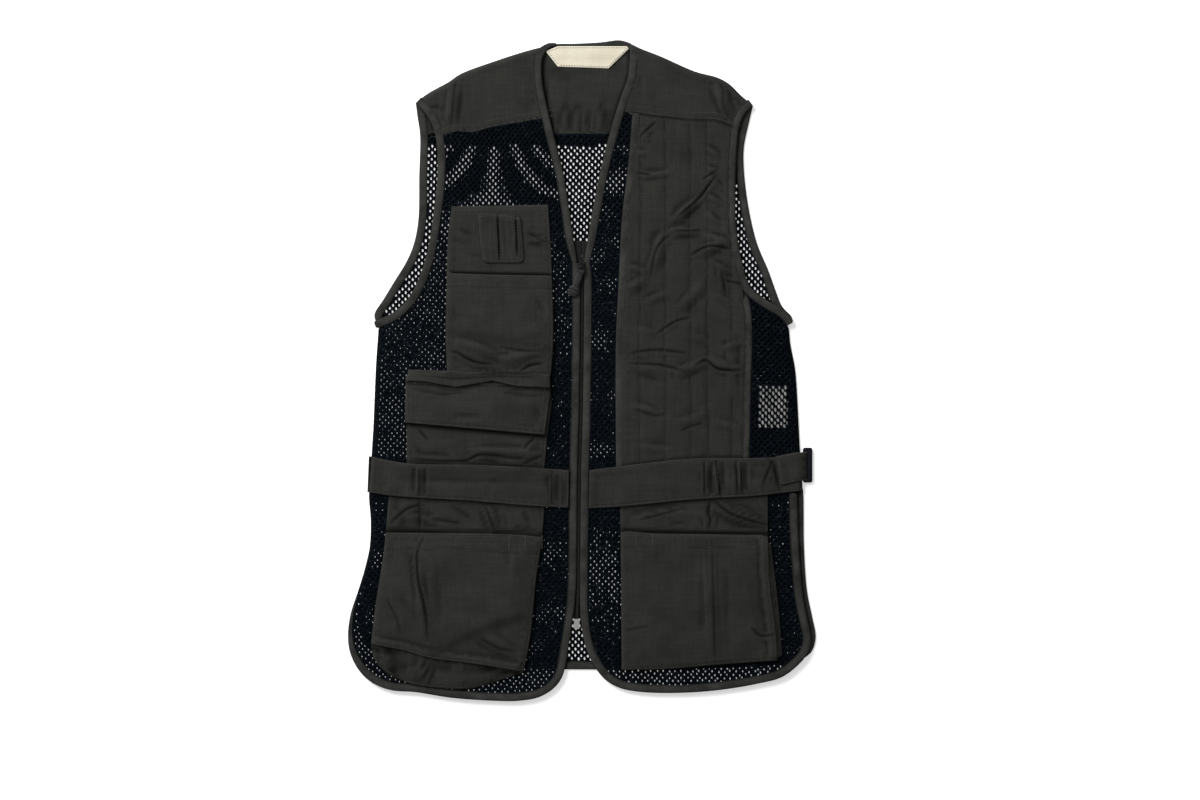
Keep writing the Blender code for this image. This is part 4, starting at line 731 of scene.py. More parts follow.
def net(name, outline, low, turn, start=(0.0, 0.0), plain=(), swing=0.0, blind=None, shrink=(1.0, 1.0),
        hole="hole", gathered=False, pulledOver=None):
    # Lattice points p, q stand half a pitch and a row apart. Those with p + q odd are the knots, and round
    # each of the others the four knots make a diamond with a hole in it. Knots outside go to the nearest
    # edge point. Inside the blind area the holes are pits, where a second layer lies under the net. Worn net
    # pulls shut: shrink is the holes' share of their full size below y 140 and above y 200. Over pulledOver
    # they are wider. Gathered net draws in towards the yoke, so its columns fan out downwards
    a, b = netLattice["pitch"] / 2, netLattice["row"]
    cos, sin = math.cos(math.radians(turn)), math.sin(math.radians(turn))
    rest = outline - start
    spanP = rest @ (cos, sin) / a
    spanQ = rest @ (-sin, cos) / b
    spare = 20 if gathered else 3
    p, q = np.meshgrid(np.arange(int(spanP.min()) - spare, int(spanP.max()) + spare + 1),
                       np.arange(int(spanQ.min()) - 3, int(spanQ.max()) + 4), indexing="ij")
    x = start[0] + a * p * cos - b * q * sin
    y = start[1] + a * p * sin + b * q * cos
    strayX, strayY = warp(x, y)
    x, y = x + swing * (strayX - warp(*start)[0]), y + swing * (strayY - warp(*start)[1])
    if gathered:
        centre, levels, shares = netLattice["gather"]
        x = centre + (x - centre) * np.interp(y, levels, shares)
    far = lineDistance(x, y, outline, True)
    _, _, px, py = nearestOn(x, y, np.concatenate([outline, outline[:1]]))
    x, y = np.where(far < 0, px, x), np.where(far < 0, py, y)
    i, j = np.meshgrid(np.arange(1, p.shape[0] - 1), np.arange(1, p.shape[1] - 1), indexing="ij")
    i, j = i.ravel(), j.ravel()
    even = (p[i, j] + q[i, j]) % 2 == 0
    i, j = i[even], j[even]
    around = [(i + 1, j), (i, j + 1), (i - 1, j), (i, j - 1)]
    nearest = np.min([far[k] for k in around], axis=0)
    keep = np.max([far[k] for k in around], axis=0) > 0.3
    opened = keep & (nearest > netLattice["edge"])
    for area in plain:
        inside = np.zeros(len(i))
        inside[opened] = lineDistance(x[i, j][opened], y[i, j][opened], area, True)
        opened &= ~(inside > netLattice["cover"])
    knot = np.arange(x.size).reshape(x.shape)
    corners = np.stack([knot[k] for k in around], axis=1)
    angle = roundTurn(6) - math.pi / 6
    tilt = math.radians(netLattice["tilt"]) + math.radians(turn)
    ox, oy = np.cos(angle) / np.cos(angle[0]) * netLattice[hole][0], np.sin(angle) * netLattice[hole][1]
    count, holeX, holeY = int(opened.sum()), x[i, j][opened], y[i, j][opened]
    swell = (1 + 0.05 * rng.standard_normal((count, 1))) * np.interp(holeY, [140, 200], shrink)[:, None]
    if pulledOver is not None:
        swell *= 1 + 0.32 * (lineDistance(holeX, holeY, pulledOver, True) > -1)[:, None]
    stray = np.interp(holeY, [140, 200], [0.5, 0.14]) if min(shrink) < 0.8 else 0.2
    shift = np.reshape(stray, (-1, 1)) * rng.standard_normal((2, count, 1))
    rx = holeX[:, None] + (ox * math.cos(tilt) - oy * math.sin(tilt)) * swell + shift[0]
    ry = holeY[:, None] + (ox * math.sin(tilt) + oy * math.cos(tilt)) * swell + shift[1]
    used, corners = np.unique(corners[keep], return_inverse=True)
    corners = corners.reshape(-1, 4)
    kx, ky = x.ravel()[used], y.ravel()[used]
    knotLow, ringLow = low(kx, ky), low(rx, ry)
    n, wall = len(used), lay["net"]
    points = np.concatenate([
        np.stack([kx, ky, knotLow + wall + 0.1], 1),
        np.stack([rx, ry, ringLow + wall - 0.1], -1).reshape(-1, 3),
        np.stack([kx, ky, knotLow], 1),
        np.stack([rx, ry, ringLow + 0.12], -1).reshape(-1, 3)])
    below = n + rx.size
    isOpen = opened[keep]
    pit = np.zeros(count, bool)
    if blind is not None:
        pit = lineDistance(holeX, holeY, blind, True) > 0
    c = corners[isOpen].T
    r = (n + np.arange(rx.size).reshape(-1, 6)).T
    threes = np.concatenate([np.stack([c[0], r[1], r[0]], 1), np.stack([c[2], r[4], r[3]], 1)])
    fours = np.concatenate([np.stack(f, 1) for f in (
        (c[0], c[1], r[2], r[1]), (c[1], c[2], r[3], r[2]), (c[2], c[3], r[5], r[4]),
        (c[3], c[0], r[0], r[5]))])
    fours = np.concatenate([fours, corners[~isOpen]])
    walls = [np.stack([r[k], r[(k + 1) % 6], r[(k + 1) % 6] + below, r[k] + below], 1) for k in range(6)]
    threesUnder = threes[np.tile(~pit, 2)][:, ::-1] + below
    foursUnder = np.concatenate([fours[:4 * count][np.tile(~pit, 4)], corners[~isOpen], corners[isOpen][pit]])
    pairs = np.concatenate([corners[:, [k, (k + 1) % 4]] for k in range(4)])
    key, back = pairs[:, 0] * n + pairs[:, 1], pairs[:, 1] * n + pairs[:, 0]
    rim = pairs[~np.isin(key, back)]
    walls.append(np.stack([rim[:, 0] + below, rim[:, 1] + below, rim[:, 1], rim[:, 0]], 1))
    faces = [threes, threesUnder, fours, foursUnder[:, ::-1] + below, np.concatenate(walls), r.T[pit] + below]
    bottoms = (r.T[pit] + below).ravel()
    points[bottoms, 2] += 0.2
    # Painted shade at the bottoms of the pits
    recessShade = np.zeros(len(points))
    recessShade[bottoms] = 0.95
    made = makeMesh(name + "_net", points, [f for f in faces if len(f)], netYarn)
    shaded.append((made, points, recessShade))
    width, length = np.ptp(outline, axis=0)
    declare(made, name, min(areaOf(outline), width * length))
    print(f"net {name}: {count} holes")


def splitRing(outline, corners):
    # The outline's four sides from its corner points: bottom, right, top, left, each from the left or the
    # bottom
    if turning(outline) < 0:
        outline = outline[::-1]
    first = np.linalg.norm(outline - corners[0], axis=1).argmin()
    ring = np.roll(outline, -first, axis=0)
    at = [np.linalg.norm(ring - c, axis=1).argmin() for c in corners] + [len(ring)]
    ring = np.concatenate([ring, ring[:1]])
    bottom, right, top, left = (ring[a:b + 1] for a, b in zip(at[:-1], at[1:]))
    return bottom, right, top[::-1], left[::-1]


def ownEdge(far, x, y, hem=6.0, rise=0.18, seam=1.9):
    # Turned edge of a sewn piece: a rounded lip, a double layer, a sunk row of stitches and small puckers
    lip = -0.75 * np.clip(1 - far / 1.0, 0, 1) ** 2
    double = rise * (1 - np.clip((far - hem) / 3, 0, 1) ** 2 * (3 - 2 * np.clip((far - hem) / 3, 0, 1)))
    sunk = -0.38 * np.exp(-((far - seam) / 0.8) ** 2)
    pucker = 0.22 * np.sin(0.7 * (x + 0.7 * y) + 2 * np.sin((x - y) / 17)) * np.exp(-((far - seam) / 5) ** 2)
    return lip + double + sunk + pucker


def hollow(heights):
    # How far each point of a grid lies below the mean of those round it
    return evened(heights, 3) - heights


def panel(name, outline, corners, low, key=None, pitch=3.0, wall=lay["cloth"], slotName="twill",
          marks=((), ()), grooves=(), edge=ownEdge, waves=1.0, restsOn=(), takesPaintedShade=True):
    # Each grid point lies between the four sides: bottom and top blended by v, plus left and right blended
    # by u, less the corners blended by both. Height is the cloth below, the creases and the edge's own
    # profile. key finds the piece's creases and shade. Points near a pressed crease are drawn towards it
    creases, lines = smallFolds.get(key, ()), pressed.get(key, ())
    bottom, right, top, left = splitRing(outline, corners)
    us = spacing((lengthOf(bottom) + lengthOf(top)) / 2, pitch, marks[0])
    vs = spacing((lengthOf(left) + lengthOf(right)) / 2, pitch, marks[1])
    b, t, l, r = along(bottom, us), along(top, us), along(left, vs), along(right, vs)
    u, v = us[None, :, None], vs[:, None, None]
    xy = ((1 - v) * b[None] + v * t[None] + (1 - u) * l[:, None] + u * r[:, None]
          - (1 - u) * (1 - v) * b[0] - u * (1 - v) * b[-1] - (1 - u) * v * t[0] - u * v * t[-1])
    x, y = xy[..., 0], xy[..., 1]
    still = np.clip(lineDistance(x, y, outline, True) / 5, 0, 1)
    for line, _ in lines:
        far, _, px, py = alongLine(x, y, line)
        pull = 0.72 * np.exp(-(far / (1.4 * pitch)) ** 2) * still
        x, y = x + (px - x) * pull, y + (py - y) * pull

    def own(x, y):
        # The piece's creases and waves
        return lay["crease"] * creaseHeight(creases, x, y) + ripple(x, y, waves)

    def topAt(x, y):
        # Cloth below, own shape fading in over 6 mm, wall and edge, less pressed creases and grooves
        far = lineDistance(x, y, outline, True)
        made = low(x, y) + own(x, y) * np.clip(far / 6, 0, 1) + wall + edge(np.maximum(far, 0), x, y)
        made = made - pinched(lines, x, y)[0] * np.clip(far / 2, 0, 1)
        for line, depth, width, _ in grooves:
            made = made - depth * np.exp(-(lineDistance(x, y, line) / width) ** 2)
        return made

    far = np.maximum(lineDistance(x, y, outline, True), 0)
    under = np.maximum(low(x, y) + own(x, y) * np.clip(far / 6, 0, 1), 0.03)
    over = topAt(x, y)
    rows, columns = x.shape
    number = np.arange(rows * columns).reshape(rows, columns)
    rim = np.concatenate([number[0, :-1], number[:-1, -1], number[-1, :0:-1], number[:0:-1, 0]])
    loop = xy.reshape(-1, 2)[rim]
    middle = np.column_stack([loop + 0.22 * outOf(loop), (under.ravel()[rim] + over.ravel()[rim]) / 2])
    points = np.concatenate([np.stack([x, y, over], -1).reshape(-1, 3),
                             np.stack([x, y, under], -1).reshape(-1, 3), middle])
    faces, n = gridFaces(rows, columns), rows * columns
    edgeRing = 2 * n + np.arange(len(rim))
    after = np.roll(rim, -1)
    ringAfter = np.roll(edgeRing, -1)
    allFaces = np.concatenate([faces, faces[:, ::-1] + n, np.stack([edgeRing, ringAfter, after, rim], 1),
                               np.stack([rim + n, after + n, ringAfter, edgeRing], 1)])
    made = makeMesh(name + "_cloth", points, [allFaces], slotFinish[slotName], 60)
    # Wear and a painted highlight along the rounded edge, strongest 0.8 mm in
    wornAndHighlight = 0.4 * np.exp(-((far - 0.8) / 1.2) ** 2).ravel()
    setAttribute(made, "wornAndHighlight", np.concatenate([wornAndHighlight, wornAndHighlight, np.zeros(len(rim))]))
    # Painted shade: along the sunk row of stitches, in grooves, along the shade lines, in pressed creases and
    # in hollows
    sewnOrPaintedShade = 0.2 * np.exp(-((far - 1.9) / 0.8) ** 2) if edge is ownEdge else 0 * far
    for line, _, width, dark in grooves:
        sewnOrPaintedShade = np.maximum(sewnOrPaintedShade, dark * np.exp(-(lineDistance(x, y, line) / width) ** 2))
    for line, width, strength in shade.get(key, ()):
        sewnOrPaintedShade = np.maximum(sewnOrPaintedShade, strength * np.exp(-(lineDistance(x, y, np.array(line, float)) / width) ** 2))
    sewnOrPaintedShade = np.maximum(sewnOrPaintedShade, np.minimum(0.95, pinched(lines, x, y)[1]))
    sewnOrPaintedShade = np.maximum(sewnOrPaintedShade, np.clip(hollow(over) / 0.25 - 0.15, 0, 0.5) * (far > 3)).ravel()
    # Pieces that take painted shade in their recesses at the end
    if takesPaintedShade:
        shaded.append((made, points, np.concatenate([sewnOrPaintedShade, sewnOrPaintedShade, np.full(len(rim), 0.6)])))
    span = np.ptp(outline, axis=0)
    declare(made, name, min(areaOf(outline), span[0] * span[1]))
    return topAt


slotFinish = {"twill": twill, "label_cloth": labelCloth, "care_cloth": careCloth, "zip_cloth": zipCloth}

# Rows of stitches, kept for one mesh each: start and end of each stitch
stitchRows = {"front": [], "back": []}
stitch = {
    "length": 2.3,
    "pitch": 3.1,
    "width": 0.55,
    "height": 0.42,
    "shoulder": 0.28,  # share of the length from the middle to where a stitch is thickest
    "bite": 1.1,  # both ends go on into the cloth, to this share of the length
    "lift": 0.05,  # middle line above the cloth
    "tackPitch": 0.8,
    "tackLift": 0.12,
}


def sewLine(line, surface, group="front"):
    # Even stitches along the line, both ends of each on the surface
    line = np.asarray(line, float)
    length = lengthOf(line)
    count = int(length / stitch["pitch"])
    if count < 1:
        return
    middle = (np.arange(count) + 0.5) / count
    half = stitch["length"] / 2 / length
    ends = []
    for shares in (middle - half, middle + half):
        at = along(line, np.clip(shares, 0, 1))
        ends.append(np.column_stack([at, surface(at[:, 0], at[:, 1]) + stitch["lift"]]))
    stitchRows[group].append(np.stack(ends, axis=1))


def sewRound(outline, inset, surface, group="front", between=(-999, 999), wide=999):
    # Stitches inside a closed outline at this distance, where y lies between the two and x within wide of 0
    ring = outline if turning(outline) > 0 else outline[::-1]
    dense = along(np.concatenate([ring, ring[:1]]), np.linspace(0, 1, max(8, round(lengthOf(ring) / 2))))
    line = leftOf(dense, inset)
    x, y = line.T
    good = (lineDistance(x, y, outline, True) > 0.8 * inset) & (np.abs(x) <= wide)
    good &= (y >= between[0]) & (y <= between[1])
    for run in np.split(np.arange(len(line)), np.flatnonzero(np.diff(good.astype(int))) + 1):
        if good[run[0]] and len(run) > 3:
            sewLine(line[run], surface, group)


def bartack(x0, y0, x1, y1, surface, group="front"):
    # A dense zigzag between two points
    length = math.hypot(x1 - x0, y1 - y0)
    t = np.linspace(0, 1, max(4, round(length / stitch["tackPitch"])))
    x, y = x0 + (x1 - x0) * t, y0 + (y1 - y0) * t
    nx, ny = -(y1 - y0) / length, (x1 - x0) / length
    ends = [np.column_stack([x + side * nx, y + side * ny,
                             surface(x + side * nx, y + side * ny) + stitch["tackLift"]]) for side in (1, -1)]
    stitchRows[group].append(np.stack(ends, axis=1))


def makeStitches(name, rows):
    # Each stitch is a bead: two points and two rings of four between them, turned along the stitch
    ends = np.concatenate(rows)
    middle, axis = ends.mean(1), ends[:, 1] - ends[:, 0]
    length = np.linalg.norm(axis, axis=1)[:, None]
    axis = axis / length
    side = np.cross([0.0, 0.0, 1.0], axis)
    side /= np.linalg.norm(side, axis=1)[:, None]
    up = np.cross(axis, side)
    out = stitch["shoulder"]
    rings = [(far, math.cos(t), math.sin(t)) for far in (-out, out) for t in roundTurn(4)]
    shape = np.array([(-0.5, 0, 0), *rings, (0.5, 0, 0)])
    points = (middle[:, None] + shape[None, :, 0:1] * (length * stitch["bite"])[:, None] * axis[:, None]
              + shape[None, :, 1:2] * stitch["width"] / 2 * side[:, None]
              + shape[None, :, 2:3] * stitch["height"] / 2 * up[:, None]).reshape(-1, 3)
    k = np.arange(4)
    n = (k + 1) % 4
    base = np.arange(len(ends))[:, None, None] * 10
    threes = np.concatenate([np.stack([np.zeros(4, int), 1 + n, 1 + k], 1),
                             np.stack([np.full(4, 9), 5 + k, 5 + n], 1)])
    fours = np.stack([1 + k, 1 + n, 5 + n, 5 + k], 1)
    faces = [(threes[None] + base).reshape(-1, 3), (fours[None] + base).reshape(-1, 4)]
    made = makeMesh(name, points, faces, thread)
    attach(made, "vest")
    print(f"{name}: {len(ends)} stitches")


bindingShape = {
    "width": 9.4,
    "top": 2.0,  # height that the section is drawn for
    "rounded": 2.6,  # its rounded sides add this to the width that shows
    "least": 10.2,  # and it's never stated narrower than this
    "seam": (1.6, 1.46),  # its stitches: from the inner edge, and above the panel's underside
    # share of the width from the outer edge, millimetres more, height above the panel's underside
    "section": ((0, 0, 0.55), (0, 0.25, 1.25), (0, 0.9, 1.75), (0.3, 0, 2.0), (0.6, 0, 1.98), (1, -2.3, 1.78),
                (1, -1.6, 1.46), (1, -0.9, 1.62), (1, -0.25, 1.38), (1, 0, 0.9), (1, -0.2, 0.0),
                (0.5, 0, -0.38), (0, 0.6, -0.36), (0, 0.1, 0.0)),
    "pitch": 3.6,
    "square": 0.5,  # radius of an end that meets another binding
    "round": 3.2,  # and of one that goes round a fold
    "laid": 2.3,  # what lies over a binding starts this far above the panel's underside
}


roundEnds = {"back_armhole_binding_R": ("square", "round"), "back_armhole_binding_L": ("round", "square"),
             "armhole_binding_R": ("square", "round"), "armhole_binding_L": ("round", "square"),
             "edge_binding_R": ("round", "square"), "edge_binding_L": ("square", "round")}


def binding(node, line, width, height, top=bindingShape["top"], group="front"):
    # The section carried along the edge: widths and heights wander a little, as turned tape does, and the
    # ends are rounded off by quarter circles
    ends = roundEnds.get(node, ("square", "square"))
    length = lengthOf(line)
    close = np.array([0.25, 0.8, 1.7, 2.9]) / length
    shares = np.linspace(0, 1, max(6, round(length / bindingShape["pitch"])))
    shares = np.concatenate([[0.0], close, shares[2:-2], 1 - close[::-1], [1.0]])
    at = along(line, shares)
    far = travelled(line)
    wide = np.interp(shares, far / far[-1], np.broadcast_to(width, len(line)) * 1.0)
    s = shares * length
    corner = np.minimum(np.where(s < length / 2, bindingShape[ends[0]], bindingShape[ends[1]]), wide / 2.2)
    toEnd = np.minimum(np.minimum(s, length - s), corner)
    cut = corner - np.sqrt(corner ** 2 - (corner - toEnd) ** 2)
    wide = wide * (1 + 0.02 * np.sin(s / 13.7) + 0.015 * np.sin(s / 5.9 + 1))
    direction = np.gradient(at, axis=0)
    direction /= np.linalg.norm(direction, axis=1)[:, None]
    inward = np.stack([-direction[:, 1], direction[:, 0]], 1)
    base = height(*(at + inward * wide[:, None] / 2).T)
    shape = np.array(bindingShape["section"], float)
    small = wide[:, None] / bindingShape["width"]
    across = cut[:, None] + shape[None, :, 0] * (wide - 2 * cut)[:, None] + shape[None, :, 1] * small
    lift = shape[None, :, 2] * (top / bindingShape["top"]) * np.minimum(1, 0.35 + small * 0.65)
    pucker = (0.07 * np.sin(s / 1.9) + 0.06 * np.sin(s / 4.7 + 2))[:, None] * (shape[None, :, 2] > 1.3)
    z = base[:, None] + lift + pucker
    points = np.concatenate([at[:, None] + inward[:, None] * across[..., None], z[..., None]], axis=2)
    n, k = points.shape[:2]
    points = np.concatenate([points.reshape(-1, 3), points[0].mean(0)[None], points[-1].mean(0)[None]])
    made = makeMesh(node + "_tape", points, [faces[:, ::-1] for faces in tubeFaces(n, k)], bindingCloth, 70)
    # Wear and a painted highlight on the raised top of the section
    wornAndHighlight = np.tile(np.clip((shape[:, 2] - 1.2) / 0.8, 0, 1) * 0.8, n)
    setAttribute(made, "wornAndHighlight", np.concatenate([wornAndHighlight, [0, 0]]))
    # Painted shade in the groove of the binding's row of stitches
    sewnOrPaintedShade = np.tile(np.interp(np.abs(np.arange(k) - 7), [0, 1, 2], [0.7, 0.25, 0.0]), n)
    shaded.append((made, points, np.concatenate([sewnOrPaintedShade, [0, 0]])))
    declare(made, node)
    inset, seam = bindingShape["seam"]
    inner = leftOf(line, np.asarray(width) - inset * np.asarray(width) / bindingShape["width"])
    sewLine(inner, lambda x, y: height(x, y) + seam * top / bindingShape["top"], group)
    print(f"binding {node}: {length:.0f} mm")


def flatOn(value):
    # The same height everywhere
    return lambda x, y: np.zeros(np.shape(x)) + value


# Back, flat on the table: underside of each part and how thick it is
backYokeLift, backYokeWall = 0.1, 1.1
backBeltLift, backBeltWall = 0.05, 1.15
backNetLift = 0.12
backBindingLift, backBindingTop = 0.42, 1.75
backYokeSeam, (beltLow, beltHigh) = lay["backYokeSeam"], lay["backBelt"]
insideR, insideL = leftOf(curve["sideR"], lay["inset"]), leftOf(curve["sideL"], lay["inset"])
shoulderInR, shoulderInL = leftOf(curve["shoulderR"], lay["inset"]), leftOf(curve["shoulderL"], lay["inset"])
armR, armL = leftOf(curve["backArmholeR"], lay["tuck"]), leftOf(curve["backArmholeL"], lay["tuck"])
hemIn, neckIn = leftOf(curve["backHem"], lay["tuck"]), leftOf(curve["backNeck"], lay["tuck"])
lap = lay["lap"]
backYoke = ringOf(stretchOf(shoulderInR, (-50, 371), (-188, 309)),
                  stretchOf(armR, (-184, 303), (-182, backYokeSeam)),
                  [(-181, backYokeSeam), (-90, backYokeSeam), (0, backYokeSeam), (90, backYokeSeam),
                   (184, backYokeSeam)],
                  stretchOf(armL, (183, backYokeSeam), (189, 302)),
                  stretchOf(shoulderInL, (194, 307), (62, 374)), stretchOf(neckIn, (50, 374), (-38, 370)))
backUpper = ringOf([(-181, backYokeSeam + lap)], stretchOf(armR, (-182, backYokeSeam), (-232, 66)),
                   [(-231, 53)], stretchOf(insideR, (-233, 48), (-242, beltHigh)),
                   [(-241, beltHigh - lap), (250, beltHigh - lap)],
                   stretchOf(insideL, (250, beltHigh), (237, 48)), [(236, 53)],
                   stretchOf(armL, (238, 62), (183, backYokeSeam)), [(183, backYokeSeam + lap)])
backBelt = ringOf(stretchOf(insideR, (-241, beltHigh), (-244, beltLow)),
                  [(-120, beltLow), (0, beltLow), (120, beltLow)], [(251.5, beltLow)],
                  stretchOf(insideL, (252, -141), (250, beltHigh)), [(120, beltHigh), (0, beltHigh)],
                  [(-120, beltHigh)])
backLower = ringOf([(-243, beltLow + lap)], stretchOf(insideR, (-243, beltLow), (-256, -256)),
                   stretchOf(hemIn, (-251, -264), (251, -155)), [(251.5, beltLow + lap)])
hemStrip = np.array([(-300, 260.5), (300, 260.5), (300, 290), (-300, 290)], float)

topAt = panel("back_yoke", backYoke, ((-181, backYokeSeam), (184, backYokeSeam), (194, 307), (-188, 309)),
              flatOn(backYokeLift), "backYoke", 3.4, backYokeWall)
sewLine([(-176, backYokeSeam + 2.2), (178, backYokeSeam + 2.2)], topAt, "back")
net("back_mesh_upper", backUpper, flatOn(backNetLift), netLattice["turnBack"], blind=hemStrip)
topAt = panel("back_belt", backBelt, ((-244, beltLow), (252, beltLow), (250, beltHigh), (-242, beltHigh)),
              flatOn(backBeltLift), pitch=4.5, wall=backBeltWall)
for y in (beltLow + 1.9, beltHigh - 1.9):
    sewLine([(-240, y), (247, y)], topAt, "back")
net("back_mesh_lower", backLower, flatOn(backNetLift), netLattice["turnBack"])
for name, edge in (("back_armhole_binding_R", "backArmholeR"), ("back_armhole_binding_L", "backArmholeL"),
                   ("back_hem_binding", "backHem"), ("back_neck_binding", "backNeck")):
    binding(name, curve[edge], bindingShape["width"], flatOn(backBindingLift), backBindingTop, "back")
print("back laid")

# Bare labels: the neck label lies over the neck binding, the care label on the back inside the left side
neckLabel = np.array(((-27.7, 351), (30.8, 349), (54, 371.5), (51.5, 374.0), (-28, 374.0), (-41.5, 368.5)))
careLabel = np.array(((204, -66), (237, -66), (237, -18), (204, -18)), float)
labelShape = {
    "low": 1.7,  # underside of the neck label on the yoke
    "step": (0.6, 356, 10),  # how much it goes up over the neck binding, from which y, over how far
    "wall": 0.6,
    "careLow": 2.2,
    "careWall": 0.5,
}


def labelLow(x, y):
    # From the yoke up over the neck binding, in a smooth step
    rise, start, reach = labelShape["step"]
    t = np.clip((y - start) / reach, 0, 1)
    return labelShape["low"] + rise * t * t * (3 - 2 * t)


def labelEdge(far, x, y):
    # A lip that falls away in a square curve over the last 0.8 mm
    return -0.3 * np.clip(1 - far / 0.8, 0, 1) ** 2


def densified(points, step=3.0):
    # A closed outline with even points along its straight sides, about a step apart
    ring = np.concatenate([points, points[:1]])
    counts = [max(2, round(np.linalg.norm(b - a) / step)) for a, b in zip(ring[:-1], ring[1:])]
    return np.concatenate([a + (b - a) * np.linspace(0, 1, count, endpoint=False)[:, None]
                           for a, b, count in zip(ring[:-1], ring[1:], counts)])


topAt = panel("neck_label", densified(neckLabel), neckLabel[[0, 1, 3, 4]], labelLow, None, 2.2,
              labelShape["wall"], "label_cloth", edge=labelEdge, waves=0.5, restsOn=["back_yoke_cloth"],
              takesPaintedShade=False)
sewRound(densified(neckLabel), 1.5, topAt, "back")
panel("care_label", densified(careLabel), careLabel, flatOn(labelShape["careLow"]), None, 2.6,
      labelShape["careWall"], "care_cloth", edge=labelEdge, waves=1.5, restsOn=["back_mesh_upper_net"],
      takesPaintedShade=False)
print("labels laid")

# Fronts
edgeWidthR = np.minimum(bindingShape["width"], 1.6 + 0.085 * travelled(curve["edgeR"]))
tuck = lay["tuck"]
frontArmR, frontArmL = leftOf(curve["armholeR"], tuck), leftOf(curve["armholeL"], tuck)
neckWidthR = np.interp(curve["neckR"][:, 1], [124, 152], [6.0, bindingShape["width"]])
neckWidthL = np.interp(curve["neckL"][:, 1], [124, 152], [6.6, bindingShape["width"]])
frontNeckR, frontNeckL = leftOf(curve["neckR"], neckWidthR * 0.52), leftOf(curve["neckL"], neckWidthL * 0.52)
frontEdgeR, frontEdgeL = leftOf(curve["edgeR"], edgeWidthR * 0.5), leftOf(curve["edgeL"], tuck)
padIn, padOut = leftOf(curve["padInner"], 6.0), leftOf(curve["padOuter"], 6.0)
waist = lay["waist"]

yokeR = ringOf(curve["shoulderR"][:-1], stretchOf(frontArmR, (-186, 303), (-172, 268)),
               curve["yokeSeamR"][1:-1], stretchOf(frontNeckR, (-43, 294), (-50, 366)))
yokeL = ringOf(curve["shoulderL"][1:], stretchOf(frontNeckL, (60, 368), (43, 298)), curve["yokeSeamL"][2:-1],
               stretchOf(frontArmL, (176, 283), (190, 302)))
netUpperR = ringOf(stretchOf(frontArmR, (-164, 268), (-230, 54)),
                   stretchOf(curve["sideR"], (-235, 48), (-245, waist)),
                   [(-244, waist - lap), (-11, waist - lap)], stretchOf(frontEdgeR, (-10, waist), (-7, 120)),
                   stretchOf(frontNeckR, (-7, 127), (-36, 294)), curve["yokeSeamR"][::-1][1:-1] + (0, lap))
netLowerR = ringOf(stretchOf(curve["sideR"], (-245, waist), (-260, -259)),
                   stretchOf(frontEdgeR, (-262, -262), (-10, waist)),
                   [(-10, waist + lap), (-244, waist + lap)])
centreL = ringOf(stretchOf(frontNeckL, (41, 300), (7, 127)), stretchOf(frontEdgeL, (7, 120), (4, waist)),
                 [(4, waist - lap)], [(42, waist - lap)],
                 stretchOf(leftOf(curve["padInner"], lap), (42, -112), (61, 297)))
padArm = stretchOf(leftOf(curve["armholeL"], 6.0), (190, 100), (174, 280))
pad = ringOf([(45, waist), (115, waist), (187, waist)], stretchOf(padOut, (187, -112), (186, 84)), padArm,
             (curve["yokeSeamL"] - (0, 0.4))[::-1][2:-4], stretchOf(padIn, (64, 292), (45, -112)))
sideL = ringOf([(190, waist - lap), (253, waist - lap)], stretchOf(curve["sideL"], (253, waist), (239, 48)),
               [(234, 60)], stretchOf(frontArmL, (229, 66), (196, 88)),
               stretchOf(leftOf(curve["padOuter"], lap), (190, 84), (190, -112)))
netLowerL = ringOf([(253, waist + lap), (4, waist + lap)], stretchOf(frontEdgeL, (4, waist), (243, -141)),
                   stretchOf(curve["sideL"], (253, -138), (253, waist)))

rising = lambda x, y: frontHeight(x, y) + 0.1
sideDownR, sideDownL = turnedDown(rising, "sideR"), turnedDown(rising, "sideL")
shoulderDownR, shoulderDownL = (turnedDown(frontHeight, f, 0.05) for f in ("shoulderR", "shoulderL"))
chest = ringOf(softCurve(((-150, 189), (-154, 157), (-156, 90), (-157, 35), (-155, -5.8)))[:-1],
               [(-155, -5.8), (-95, -5.8)],
               softCurve(((-36, -5.8), (-33, 36), (-34, 90), (-36, 144), (-39, 191))), [(-95, 190)])
flapPocket = densified(np.array(((-202, -116), (-44, -122), (-40, -75), (-35, -38), (-37, -6.2),
                                 (-202, -6.2)), float))
pocketSides = {
    "outerR": ((-222, -135), (-226, -187), (-229, -215), (-237, -265), (-243, -315)),
    "bottomR": ((-243, -315), (-203, -323), (-176, -331), (-129, -337), (-67, -347)),
    "innerR": ((-67, -347), (-59, -303), (-53, -242), (-46, -192), (-42, -135)),
    "gussetR": ((-243, -317), (-240, -331), (-227, -347), (-202, -359.5), (-173, -365), (-129, -366.5),
        (-95, -357), (-68, -348.5)),
    "innerL": ((44, -135), (45, -219), (46, -345)),
    "bottomL": ((46, -345), (97, -344), (157, -339), (225, -334)),
    "outerL": ((225, -334), (223, -300), (217, -254), (215, -219), (214, -130)),
    "gussetL": ((231, -334), (228, -288), (223, -242), (217, -194)),
}
sides = {name: softCurve(points) for name, points in pocketSides.items()}
backingR = ringOf(sides["outerR"], sides["bottomR"], sides["innerR"], [(-130, -135)])
backingL = ringOf(sides["innerL"], sides["bottomL"], sides["outerL"], [(130, -132)])
hiddenR = (chest, flapPocket, backingR)
beltLines = {
    "topR": ((-245.5, -99), (-202, -107), (-120, -109), (-44, -113), (-14.9, -115)),
    "bottomR": ((-15.6, -158), (-44, -157), (-133, -150), (-184, -147), (-223, -144), (-247.3, -140)),
    "topL": ((8.8, -115), (40, -111), (109, -103), (141, -101), (195, -101), (252.9, -98.5)),
    "bottomL": ((254.3, -138), (240, -140), (194, -145), (155, -147), (113, -150), (44, -157), (8, -159)),
}
